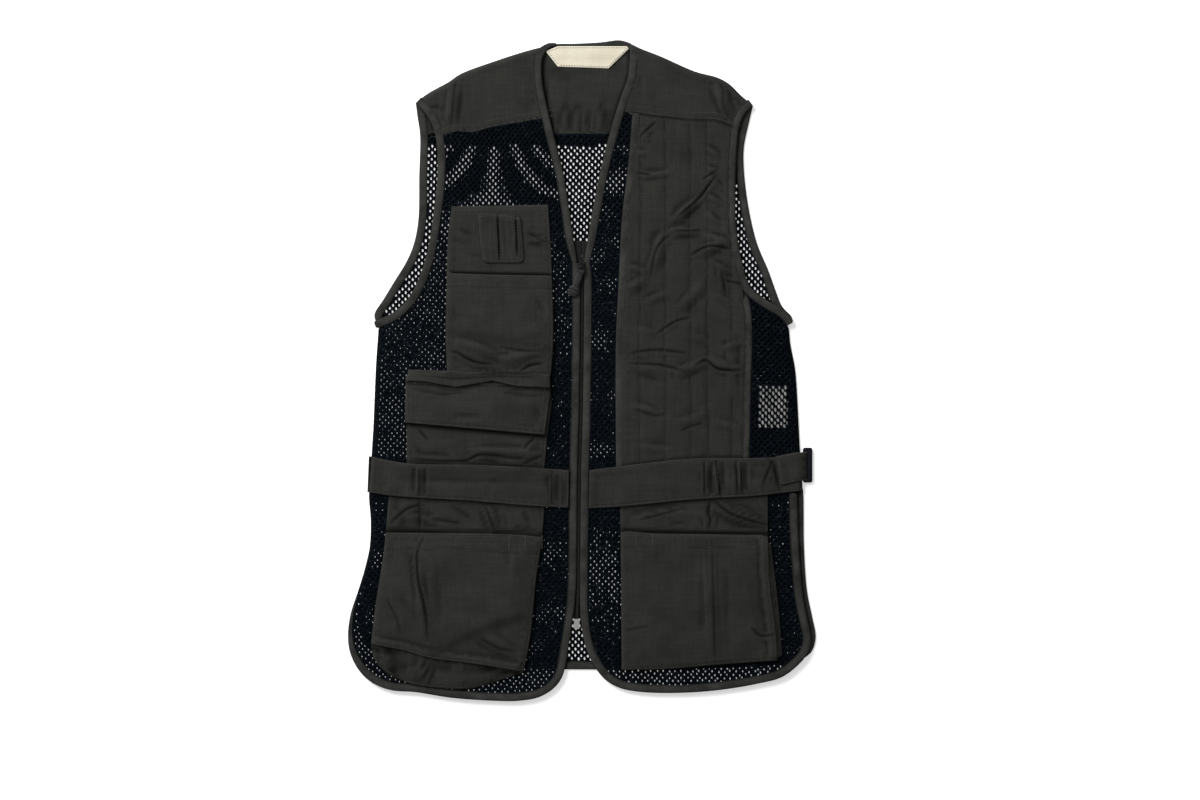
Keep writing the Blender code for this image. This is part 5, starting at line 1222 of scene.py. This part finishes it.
beltRing = {key: ringOf(softCurve(beltLines["top" + key]), softCurve(beltLines["bottom" + key]))
            for key in "RL"}

for side, outline, low, seam, corners in (
    ("R", yokeR, shoulderDownR, curve["yokeSeamR"], ((-172, 268), (-36, 292), (-43, 374), (-191, 310))),
    ("L", yokeL, shoulderDownL, curve["yokeSeamL"][2:-1], ((44, 298), (180, 283), (194, 308), (58, 376))),
):
    topAt = panel(f"front_yoke_{side}", outline, corners, low, f"yoke{side}", 2.6)
    for inset in (1.9, 8.0):
        sewLine(leftOf(seam, inset), topAt)
# Each front net has a hole over one of the back's where the photo shows its brightest patch. The side's,
# which looks dark, has its holes over the back's knots, half a pitch aside
aslant, level = netLattice["turnFront"], netLattice["turnBack"] + 0.3
aside = (netLattice["pitch"] / 2, 0.0)
plainR, plainL = (*hiddenR, beltRing["R"]), (beltRing["L"],)
for name, outline, low, turn, start, plain, swing, shrink in (
    ("upper_R", netUpperR, sideDownR, level - 0.3, backHole(-101, 215), plainR, 0.3, (0.52, 1.0)),
    ("lower_R", netLowerR, sideDownR, level + 5.9, backHole(-33, -210), plainR, 0.3, (0.54, 0.54)),
    ("centre_L", centreL, rising, aslant - 1.5, backHole(42, 218), plainL, 1.0, (0.54, 0.92)),
    ("side_L", sideL, sideDownL, level, np.add(backHole(222, -40), aside), plainL, 0.2, (1.0, 1.0)),
    ("lower_L", netLowerL, sideDownL, level + 0.9, backHole(27, -236), (backingL, *plainL), 0.4,
     (0.66, 0.66)),
):
    net("front_mesh_" + name, outline, low, turn, start, plain, swing, shrink=shrink, hole="frontHole",
        gathered=name == "upper_R", pulledOver=careLabel if name == "side_L" else None)

quilt = {
    "at": (67.0, 95.9, 124.7, 144.4, 172.1),  # x of each seam
    "rise": (0.45, 9),  # the channels stand up this much, over this far from a seam
    "sink": 0.2,
    "groove": (0.3, 1.2, 0.15),  # depth, half width, strength of the painted shade in it
}
quiltLines = [softCurve(((x - 1, 292), (x + 1, 200), (x - 0.6, 90), (x, -20), (x + 0.5, waist)))
              for x in quilt["at"]]


def padLow(x, y):
    # The quilted channels stand up a little between their seams
    gap = np.min([lineDistance(x, y, line) for line in quiltLines], axis=0)
    rise, reach = quilt["rise"]
    return frontHeight(x, y) + rise * (1 - np.clip(1 - gap / reach, 0, 1) ** 2) - quilt["sink"]


topAt = panel("shooting_pad", pad, ((45, waist), (187, waist), (176, 283), (63, 296)), padLow, "pad", 2.0,
              lay["padCloth"] - 0.3, marks=([x - 47.0 for x in quilt["at"]], ()),
              grooves=[(line, *quilt["groove"]) for line in quiltLines])
for line in quiltLines:
    sewLine(line[2:-2], topAt)


# Bindings that go down at their tops: how far, from which y, over what height
goesDown = {
    "pad_binding_outer": (1.5, 80, 7),  # under the armhole's
    "neck_binding_R": (1.2, 358, 14),  # towards the back's
    "neck_binding_L": (1.2, 358, 14),
}


def bindingHeight(name):
    # The front's underside, less a straight run down where the binding has one
    depth, start, reach = goesDown.get(name, (0.0, 0, 1))
    return lambda x, y: frontHeight(x, y) - depth * np.clip((y - start) / reach, 0, 1)


# The neck bindings turn over at their tops, where they grow narrow and meet the back's
turnedR = softCurve(((-29, 375.2), (-35.5, 373.6), (-41.8, 368.5), *edges["neckR"][1:]))[::-1]
turnedL = softCurve(((52.5, 376.6), (55.2, 370), *edges["neckL"][1:]))
turnedWidthR = np.minimum(np.interp(turnedR[:, 1], [124, 152], [6.0, bindingShape["width"]]),
                          np.interp(turnedR[:, 0], [-46, -29], [bindingShape["width"], 2.6])
                          + 9 * (turnedR[:, 1] < 350))
turnedWidthL = np.minimum(np.interp(turnedL[:, 1], [124, 152], [6.6, bindingShape["width"]]),
                          np.interp(turnedL[:, 1], [362, 376], [bindingShape["width"], 2.6]))
edgeWidthL = np.interp(curve["edgeL"][:, 1], [110, 124], [bindingShape["width"], 7.0])
for name, line, width in (
    ("neck_binding_R", turnedR, turnedWidthR), ("neck_binding_L", turnedL, turnedWidthL),
    ("armhole_binding_R", curve["armholeR"], bindingShape["width"]),
    ("armhole_binding_L", curve["armholeL"], bindingShape["width"]),
    ("edge_binding_R", curve["edgeR"], edgeWidthR), ("edge_binding_L", curve["edgeL"], edgeWidthL),
    ("pad_binding_inner", curve["padInner"], bindingShape["width"]),
    ("pad_binding_outer", curve["padOuter"], bindingShape["width"]),
):
    binding(name, line, width, bindingHeight(name))
    raiseMap(ringOf(line, leftOf(line, width)[::-1]), lambda x, y: frontHeight(x, y) + bindingShape["laid"])
raiseMap(pad, lambda x, y: padLow(x, y) + lay["padCloth"])
print("fronts laid")


def puffed(outline, height, reach):
    # Nothing at the outline, height from reach inwards, on a curve that flattens out
    def rise(x, y):
        near = np.clip(lineDistance(x, y, outline, True) / reach, 0, 1)
        return height * (1 - (1 - near) ** 2)
    return rise


def sewOn(name, key, outline, corners, on, pitch, rise=None, sewnOrPaintedShade=(-999, 999), inset=1.9, **more):
    # A piece on the map as it stood at the last base, its rise added. Stitches run inside its edge where y
    # lies between the two of sewn, and the map is raised to it
    ground = base

    def low(x, y):
        return readMap(ground, x, y) + lay["gap"] + (rise(x, y) if rise else 0)

    topAt = panel(name, outline, corners, low, key, pitch, restsOn=[on], **more)
    if sewnOrPaintedShade:
        sewRound(outline, inset, topAt, between=sewnOrPaintedShade)
    raiseMap(outline, topAt)
    return topAt


def hemGroove(line):
    # A pocket's turned hem: the line of its stitches, the groove's depth, half width and the strength of the
    # painted shade in it
    return [(line, 0.35, 0.9, 0.25)]


# Pockets of the wearer's right front
base = settled(topMap)
chestTop = sewOn("chest_panel", "chest", chest, ((-155, -5.8), (-36, -5.8), (-39, 191), (-150, 189)),
                 "front_mesh_upper_R_net", 2.6, sewnOrPaintedShade=(108, 999), marks=((), (117.0, 119.5)))
sewLine([(-148, 184), (-42, 186)], chestTop)
sewOn("flap_pocket", "flapPocket", flapPocket, ((-202, -116), (-44, -122), (-37, -6.2), (-202, -6.2)),
      "front_mesh_upper_R_net", 2.3, puffed(flapPocket, 2.0, 40), (-999, -60))
sewOn("pocket_back_R", "backR", backingR, ((-243, -315), (-67, -347), (-42, -135), (-222, -135)),
      "front_mesh_lower_R_net", 3.0, sewnOrPaintedShade=(-186, 999), marks=((), (140.0, 144.0)))
base = settled(topMap, 1, 2)
gussetR = ringOf(sides["gussetR"], (sides["bottomR"][::-1] + (0, 7))[1:-1])
gussetTop = sewOn("pocket_gusset_R", "gussetR", gussetR,
                  ((-243, -317), (-68, -348.5), (-75, -339), (-238, -309)), "front_mesh_lower_R_net", 2.2,
                  puffed(gussetR, 2.2, 12), None)
sewLine(leftOf(sides["gussetR"], 1.9)[2:-2], gussetTop)

base = settled(topMap, 1, 2)
pouchTopLine = softCurve(((-155, 112), (-96, 110), (-34, 109)))
pouch = ringOf(stretchOf(chest, (-155.5, 112), (-155, -5.8)), [(-95, -5.8)],
               stretchOf(chest, (-36, -5.8), (-34, 109)), pouchTopLine[::-1][1:-1])
pouchHem = pouchTopLine - (0, 15.5)
pouchTop = sewOn("chest_pouch", "pouch", pouch, ((-155, -5.8), (-36, -5.8), (-34, 107), (-155, 110)),
                 "chest_panel_cloth", 2.1, puffed(pouch, 1.5, 40), (-999, 104), marks=((), (100.0,)),
                 grooves=hemGroove(pouchHem))
sewLine(pouchHem[1:-1], pouchTop)
patchRing = []
patchCorners = np.array(((-115, 124.2), (-66.5, 124), (-70.5, 178.5), (-120, 182)), float)
for i, corner in enumerate(patchCorners):
    before, ahead = patchCorners[i - 1] - corner, patchCorners[(i + 1) % 4] - corner
    start, end = corner + before / np.linalg.norm(before) * 7, corner + ahead / np.linalg.norm(ahead) * 7
    t = np.linspace(0, 1, 7)[:, None]
    patchRing.append((1 - t) ** 2 * start + 2 * t * (1 - t) * corner + t ** 2 * end)
loopPatch = densified(np.concatenate(patchRing), 2.5)
patchTop = sewOn("loop_patch", "patch", loopPatch, ((-113, 126), (-68.5, 126), (-72.5, 176.5), (-118, 179.5)),
                 "chest_panel_cloth", 1.8, inset=2.0)
for slit in (((-97, 181), (-94.7, 125.5)), ((-76.2, 179.5), (-74.5, 131))):
    for aside in (2.2, -2.2):
        sewLine(np.array(slit) + (aside, 0), patchTop)
for ends in ((-117, 177, -112, 176.6), (-77, 174.5, -72, 174), (-113, 128, -108, 128), (-74, 128, -69, 128)):
    bartack(*ends, patchTop)
bartack(-124.5, 166, -124, 161, chestTop)
flap = densified(np.array(((-204, -60), (-124, -67), (-43, -74), (-36, -22), (-37, -10), (-203, -8)), float))
flapTop = sewOn("pocket_flap", "flap", flap, ((-204, -60), (-43, -74), (-37, -10), (-203, -8)),
                "flap_pocket_cloth", 2.6, lambda x, y: 1.6 * np.clip((-14 - y) / 50, 0, 1), (-999, -14))
sewRound(flap, 6.6, flapTop, between=(-999, -14))
pocketMouthR = softCurve(((-228, -187), (-83, -189), (-46, -192)))
pocketR = ringOf(stretchOf(sides["outerR"], (-226, -188), (-243, -315)), sides["bottomR"],
                 stretchOf(sides["innerR"], (-67, -347), (-46.5, -193)), pocketMouthR[::-1][1:-1])
mouthHemR = np.array(((-224, -206), (-150, -205), (-51, -211)), float)
pocketRTop = sewOn("lower_pocket_R", "pocketR", pocketR,
                   ((-243, -315), (-67, -347), (-47, -193), (-226, -188)), "pocket_back_R_cloth", 2.1,
                   puffed(pocketR, 3.0, 45), (-999, -192), marks=((), (115.0,)), grooves=hemGroove(mouthHemR))
sewLine(mouthHemR, pocketRTop)
for x in (-83.0, -64.8, -45.6):
    bartack(x, -190.5, x - 0.6, -205.5, pocketRTop)

base = settled(topMap)
strip = densified(np.array(((-200, 1), (-202, -12), (-180, -13), (-145, -19), (-103, -12), (-76, -18),
                            (-37, -20), (-37, -5)), float))
stripTop = sewOn("flap_strip", "strip", strip, ((-202, -12), (-37, -20), (-37, -5), (-200, 1)),
                 "pocket_flap_cloth", 2.2, None, None)
sewLine([(-197, -1.2), (-40, -7)], stripTop)
print("right pockets laid")

# Pocket of the wearer's left front
base = settled(topMap)
sewOn("pocket_back_L", "backL", backingL, ((46, -345), (225, -334), (214, -130), (44, -135)),
      "front_mesh_lower_L_net", 3.0, sewnOrPaintedShade=(-186, 999), marks=((), (151.0, 155.0)))
base = settled(topMap, 1, 2)
gussetL = ringOf(stretchOf(sides["outerL"], (225, -334), (216, -194))[::-1] - (8, 0), sides["gussetL"][1:-1])
sewOn("pocket_gusset_L", None, gussetL, ((217, -334), (231, -333), (218, -196), (208, -194)),
      "front_mesh_lower_L_net", 3.0, puffed(gussetL, 1.5, 8), None)
base = settled(topMap, 1, 2)
pocketMouthL = softCurve(((45, -185), (82, -188), (147, -189), (214, -190)))
pocketL = ringOf(stretchOf(sides["innerL"], (45, -187), (46, -345)), sides["bottomL"],
                 stretchOf(sides["outerL"], (225, -334), (214.6, -192)), pocketMouthL[::-1][1:-1])
mouthHemL = np.array(((46, -205), (82, -202), (147, -204), (214, -206)), float)
pocketLTop = sewOn("lower_pocket_L", "pocketL", pocketL, ((46, -345), (225, -334), (215, -192), (45, -187)),
                   "pocket_back_L_cloth", 2.1, puffed(pocketL, 3.0, 45), (-999, -190), marks=((), (129.0,)),
                   grooves=hemGroove(mouthHemL))
sewLine(mouthHemL, pocketLTop)
for x in (46.0, 63.0, 82.0):
    bartack(x, -188.0, x - 0.4, -201.5, pocketLTop)
print("left pocket laid")

# Belt: each strip goes down over the side's fold with the front
base = settled(topMap, 3, 8)
beltPleats = {  # x, y of both ends, height, width
    "R": ((-34, -116, -34, -153, 1.6, 10), (-22, -118, -23, -154, 1.4, 10),
          (-186, -110, -188, -144, 1.2, 14)),
    "L": ((143, -104, 143, -146, 1.4, 12), (156, -104, 157, -144, 1.6, 12), (181, -104, 182, -142, 1.4, 14)),
}
for key, corners, on in (
    ("R", ((-247.3, -140), (-15.6, -158), (-14.9, -115), (-245.5, -99)), "front_mesh_upper_R_net"),
    ("L", ((8, -159), (254.3, -138), (252.9, -98.5), (8.8, -115)), "shooting_pad_cloth"),
):
    pleats = beltPleats[key]
    over = lambda x, y, rows=pleats: readMap(base, x, y) + lay["gap"] + 0.35 * ridgeHeight(rows, x, y)
    low = turnedDown(over, "side" + key, 2.5)
    beltTop = panel(f"belt_{key}", beltRing[key], corners, low, "belt" + key, 2.0, restsOn=[on])
    sewRound(beltRing[key], 1.9, beltTop, wide=236)
    for x0, y0, x1, y1, *_ in pleats:
        sewLine([(x0, y0 - 2), (x1, y1 + 2)], beltTop)
    raiseMap(beltRing[key], beltTop)
for x in (-200.0, -190.0):
    sewLine([(x, -110), (x - 1, -144)], lambda x, y: readMap(topMap, x, y))
print("belt laid")

# Strap over the left end of the belt, down into the buckle
base = settled(topMap)
strapRing = densified(np.array(((229, -132), (254, -126.5), (259.8, -125.8), (259.8, -94.5),
                                (246, -94.5), (224, -99)), float), 2.5)
strapShape = {
    "bend": 250.0,  # x up to which it lies on the belt
    "bar": 3.75,  # its underside on the buckle's inner bar
    "drop": ((250.0, 257.6, 259.2, 259.8), (0.0, 1.0, 1.35, 1.5)),  # x, and how often the way to the bar
    "slot": 5.1,  # past the bar, once that way is this many millimetres
}


def strapLow(x, y):
    # On the belt as far as the bend, then straight down over the inner bar into the slot
    bend, bar = strapShape["bend"], strapShape["bar"]
    start = readMap(base, np.full(x.shape, bend), y) + lay["gap"]
    level = readMap(base, np.minimum(x, bend), y) + lay["gap"]
    drop = np.interp(x, *strapShape["drop"])
    down = np.where(drop <= 1, start + (bar - start) * drop, bar - (drop - 1) * strapShape["slot"])
    return np.where(x <= bend, level, down)


strapTop = panel("side_strap", strapRing, ((229, -132), (259.8, -125.8), (259.8, -94.5), (224, -99)),
                 strapLow, pitch=2.2, restsOn=["belt_L_cloth"], waves=0.6)
sewRound(strapRing, 1.9, strapTop, wide=248)

buckleShape = {
    "outer": (254.9, 266.0, -129.4, -89.0),
    "slot": (257.3, 259.75, -126.2, -94.2),
    "height": 3.4,
    "corner": 2.6,
    "around": 96,  # points round the frame, and round its section
    "section": 12,
}


def roundedBox(box, corner, count):
    # A box outline with quarter-circle corners, evenly spaced round
    x0, x1, y0, y1 = box
    turn = np.linspace(0, math.pi / 2, 9)
    parts = []
    for cx, cy, start in ((x1 - corner, y1 - corner, 0), (x0 + corner, y1 - corner, 1),
                          (x0 + corner, y0 + corner, 2), (x1 - corner, y0 + corner, 3)):
        a = turn + start * math.pi / 2
        parts.append(np.stack([cx + corner * np.cos(a), cy + corner * np.sin(a)], 1))
    ring = np.concatenate(parts)
    ring = np.concatenate([ring, ring[:1]])
    return along(ring, np.arange(count) / count)


outerRing = roundedBox(buckleShape["outer"], buckleShape["corner"], buckleShape["around"])
x0, x1, y0, y1 = buckleShape["slot"]
innerRing = np.column_stack([np.clip(outerRing[:, 0], x0, x1), np.clip(outerRing[:, 1], y0, y1)])
turn = roundTurn(buckleShape["section"])
bow, rise = squared(np.cos(turn), 0.55), squared(np.sin(turn), 0.55)
halfHigh = buckleShape["height"] / 2
points = np.empty((buckleShape["around"], buckleShape["section"], 3))
middle, half = (outerRing + innerRing) / 2, (outerRing - innerRing) / 2
points[..., :2] = middle[:, None] + half[:, None] * bow[None, :, None]
points[..., 2] = halfHigh + 0.02 + halfHigh * rise[None]
buckle = makeMesh("buckle_frame", points.reshape(-1, 3), tubeFaces(*points.shape[:2], closed=True),
                  buckleGloss)
declare(buckle, "buckle")
print("strap and buckle laid")

# Zip: tapes, interlocking teeth, bottom box
tapeUnder = lay["front"] - 0.4 - lay["gap"] - 1.0
zipLine = softCurve(edges["zip"], 8.0)
tapeLine = softCurve(((-0.8, 149), *edges["zip"]), 8.0)  # the tapes' free ends close the bottom of the neck
for key, sign in (("R", -1), ("L", 1)):
    inner, outer = leftOf(tapeLine, sign * 0.3), leftOf(tapeLine, sign * 11.0)
    ring = ringOf(inner, outer[::-1])
    left, right = (outer, inner) if sign < 0 else (inner, outer)
    corners = (left[-1], right[-1], right[0], left[0])
    panel(f"zip_tape_{key}", ring, corners, flatOn(tapeUnder + 0.15), None, 5.0, 0.6, "zip_cloth",
          edge=labelEdge, waves=0)

tooth = {
    "pitch": 1.55,
    "long": 2.3,
    "wide": 0.95,
    "high": 1.5,
    "lift": 0.75,  # middle of a tooth above the front's underside
    "rings": ((-0.5, 0.72), (-0.1, 1.0), (0.5, 0.8)),  # share of the length, share of the full section
}


def makeTeeth(name, line):
    # Pairs of rounded bricks, one from each side, half a pitch apart: three six-sided rings each
    count = int(lengthOf(line) / tooth["pitch"])
    angle = roundTurn(6) + math.pi / 6
    ring = np.stack([np.cos(angle) * tooth["wide"] / 2, np.sin(angle) * tooth["high"] / 2], 1)
    places = []
    for sign, phase in ((-1, 0.25), (1, 0.75)):
        at = along(line, (np.arange(count) + phase) / count)
        z = frontHeight(at[:, 0], at[:, 1]) + tooth["lift"]
        rings = []
        for across, scale in tooth["rings"]:
            x = at[:, 0:1] + sign * (0.28 + across) * tooth["long"] * 0.8 + 0 * ring[None, :, 0]
            y = at[:, 1:2] + ring[None, :, 0] * scale
            rings.append(np.stack([x, y, z[:, None] + ring[None, :, 1] * scale], -1))
        places.append(np.stack(rings, axis=1))
    points = np.concatenate(places)
    flip = np.repeat([False, True], count)
    base = (np.arange(len(points)) * 18)[:, None, None]
    k = np.arange(6)
    n = (k + 1) % 6
    quads = np.concatenate([np.stack([r * 6 + k, r * 6 + n, (r + 1) * 6 + n, (r + 1) * 6 + k], 1)
                            for r in (0, 1)])
    caps = np.array([[5, 4, 3, 2, 1, 0], [12, 13, 14, 15, 16, 17]])
    quadFaces = np.where(flip[:, None, None], quads[None] + base, quads[None, :, ::-1] + base).reshape(-1, 4)
    capFaces = np.where(flip[:, None, None], caps[None] + base, caps[None, :, ::-1] + base).reshape(-1, 6)
    made = makeMesh(name, points.reshape(-1, 3), [quadFaces, capFaces], toothNylon, 50)
    declare(made, "zip_chain")
    print(f"{name}: {2 * count} teeth")


makeTeeth("zip_teeth", zipLine)

# Zip pull: an eye round the slider's arch, a moulded body that leans aside, and a knob in three lobes
pullShape = {
    "axis": (-0.8, 120.5, 9.3),
    "slope": 0.072,
    "under": 0.85,  # from the axis's height down to the pull's underside
    "bend": 6.0,  # straight down as far as this, then turned
    "turn": 22.0,
    # distance from the axis, half width, half thickness
    "body": ((4.7, 0.8, 0.3), (4.9, 3.3, 0.8), (5.4, 4.1, 1.15), (7.2, 4.2, 1.2), (7.9, 3.8, 1.05),
             (8.5, 3.3, 0.9), (10.6, 3.4, 0.95), (14.0, 3.6, 1.0), (18.0, 3.7, 1.05), (23.6, 3.6, 1.0),
             (25.2, 3.7, 1.05), (26.4, 5.4, 1.35), (28.0, 6.3, 1.55), (29.0, 6.0, 1.3), (29.9, 5.5, 1.05),
             (30.8, 6.5, 1.45), (32.2, 6.9, 1.6), (33.2, 6.3, 1.35), (34.0, 5.5, 1.1), (34.9, 5.8, 1.35),
             (36.0, 5.0, 1.2), (37.0, 2.8, 0.7), (37.3, 0.7, 0.3)),
    "eye": (2.35, -5.15, -0.15, 1.3),  # half width, low and high y, corner radius of its middle line
    "eyeTube": (0.68, 0.8),
}


def pullPlace(far, across, high):
    # A place on the pull: along it from the axis, across it, and above its underside
    turn = np.where(far > pullShape["bend"], math.radians(pullShape["turn"]), 0.0)
    reach = np.maximum(far - pullShape["bend"], 0)
    x = across * np.cos(turn) - reach * np.sin(turn)
    y = -np.minimum(far, pullShape["bend"]) - reach * np.cos(turn) - across * np.sin(turn)
    axis = pullShape["axis"]
    z = axis[2] - pullShape["under"] + pullShape["slope"] * y + high
    return np.stack([axis[0] + x, axis[1] + y, z], -1)


turn = roundTurn(16)
wide, high = squared(np.cos(turn), 0.7), squared(np.sin(turn), 0.7)
knots = np.array(pullShape["body"])
fine = np.interp(np.linspace(0, len(knots) - 1, 61), np.arange(len(knots)), knots[:, 0])
halfWide, halfHigh = (np.interp(fine, knots[:, 0], knots[:, k]) for k in (1, 2))
rib = 1 + 0.16 * np.exp(-(wide / 0.25) ** 2)  # raised down the middle
bodyPoints = pullPlace(fine[:, None] + 0 * wide, halfWide[:, None] * wide,
                       halfHigh[:, None] * (1 + high * np.where(high > 0, rib, 1.0)))
ends = np.stack([bodyPoints[0].mean(0), bodyPoints[-1].mean(0)])
n, k = bodyPoints.shape[:2]
halfEye, eyeLow, eyeHigh, eyeCorner = pullShape["eye"]
loop = roundedBox((-halfEye, halfEye, eyeLow, eyeHigh), eyeCorner, 40)
tube = roundTurn(10)
tubeWide, tubeHigh = pullShape["eyeTube"]
eyeAt = loop[:, None] + outOf(loop)[:, None] * (np.cos(tube) * tubeWide)[None, :, None]
eyePoints = pullPlace(-eyeAt[..., 1], eyeAt[..., 0], 0.9 + np.sin(tube) * tubeHigh + 0 * eyeAt[..., 0])
eyeFaces = tubeFaces(*eyePoints.shape[:2], closed=True)[0] + n * k + 2
pullPoints = np.concatenate([bodyPoints.reshape(-1, 3), ends, eyePoints.reshape(-1, 3)])
pull = makeMesh("zip_pull_moulded", pullPoints, [*tubeFaces(n, k), eyeFaces], pullRubber, 55)
declare(pull, "zip_pull", body="pull")

for name, finish in (("zip_slider", sliderPaint), ("zip_bottom_box", boxSteel)):
    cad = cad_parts[name]
    for place in cad.material_slots:
        place.material = finish

makeStitches("stitching_front", stitchRows["front"])
makeStitches("stitching_back", stitchRows["back"])

# Painted shade in recesses: how far a point lies below what is round it, from the finished map, evened out,
# darkens it
recessShade = {
    "table": 1.4,  # height taken for what lies beside the front
    "start": 0.5,  # a point this far down begins to darken
    "full": 1.8,  # over this much more
    "most": 0.85,
}
onR, onL = (lineDistance(mapGridX, mapGridY, front, True) > 0 for front in (frontR, frontL))
around = evened(np.where(onR | onL, topMap, recessShade["table"]), 5)
for piece, points, sewnOrPaintedShade in shaded:
    sunk = readMap(around, points[:, 0], points[:, 1]) - points[:, 2]
    dark = np.clip((sunk - recessShade["start"]) / recessShade["full"], 0, recessShade["most"])
    setAttribute(piece, "painted_shade", np.maximum(sewnOrPaintedShade, dark))
print("recesses darkened")

# Floor, light and camera
floorMesh = bpy.data.meshes.new("floor")
reach, under = 6.0, -0.0002
floorMesh.from_pydata([(x * reach, y * reach, under) for x, y in ((-1, -1), (1, -1), (1, 1), (-1, 1))], [],
                      [(0, 1, 2, 3)])
floorFinish, tree, shader, _ = newFinish("pale_floor", 0.9, gloss=0.1)
fill(tree, shader, {"Base Color": (0.9, 0.9, 0.9, 1), "Emission Color": (1, 1, 1, 1),
                    "Emission Strength": light["floorGlow"]})
floorMesh.materials.append(floorFinish)
addObject("floor", floorMesh)

world = bpy.data.worlds.new("studio")
bpy.context.scene.world = world
world.use_nodes = True
backdrop = {"Color": (1.0, 1.0, 1.0, 1), "Strength": light["sky"]}
fill(world.node_tree, world.node_tree.nodes["Background"], backdrop)
lamp = bpy.data.lights.new("softbox", "AREA")
lamp.energy = light["key"]
lamp.shape = "DISK"
lamp.size = light["keySize"]
lampObject = addObject("softbox", lamp)
lampObject.location = light["keyPlace"]
lampObject.rotation_euler = (-lampObject.location).to_track_quat("-Z", "Y").to_euler()

camera = bpy.data.cameras.new("camera")
camera.lens = view["lens"]
camera.sensor_width = view["sensor"]
camera.clip_start, camera.clip_end = view["clip"]
camera.dof.use_dof = False
cameraObject = addObject("camera", camera)
distance = view["frameWidth"] * view["lens"] / view["sensor"]
cameraObject.location = (view["x"] * mm, view["y"] * mm, distance * mm)
bpy.context.scene.camera = cameraObject
bpy.context.scene.view_settings.view_transform = "Standard"
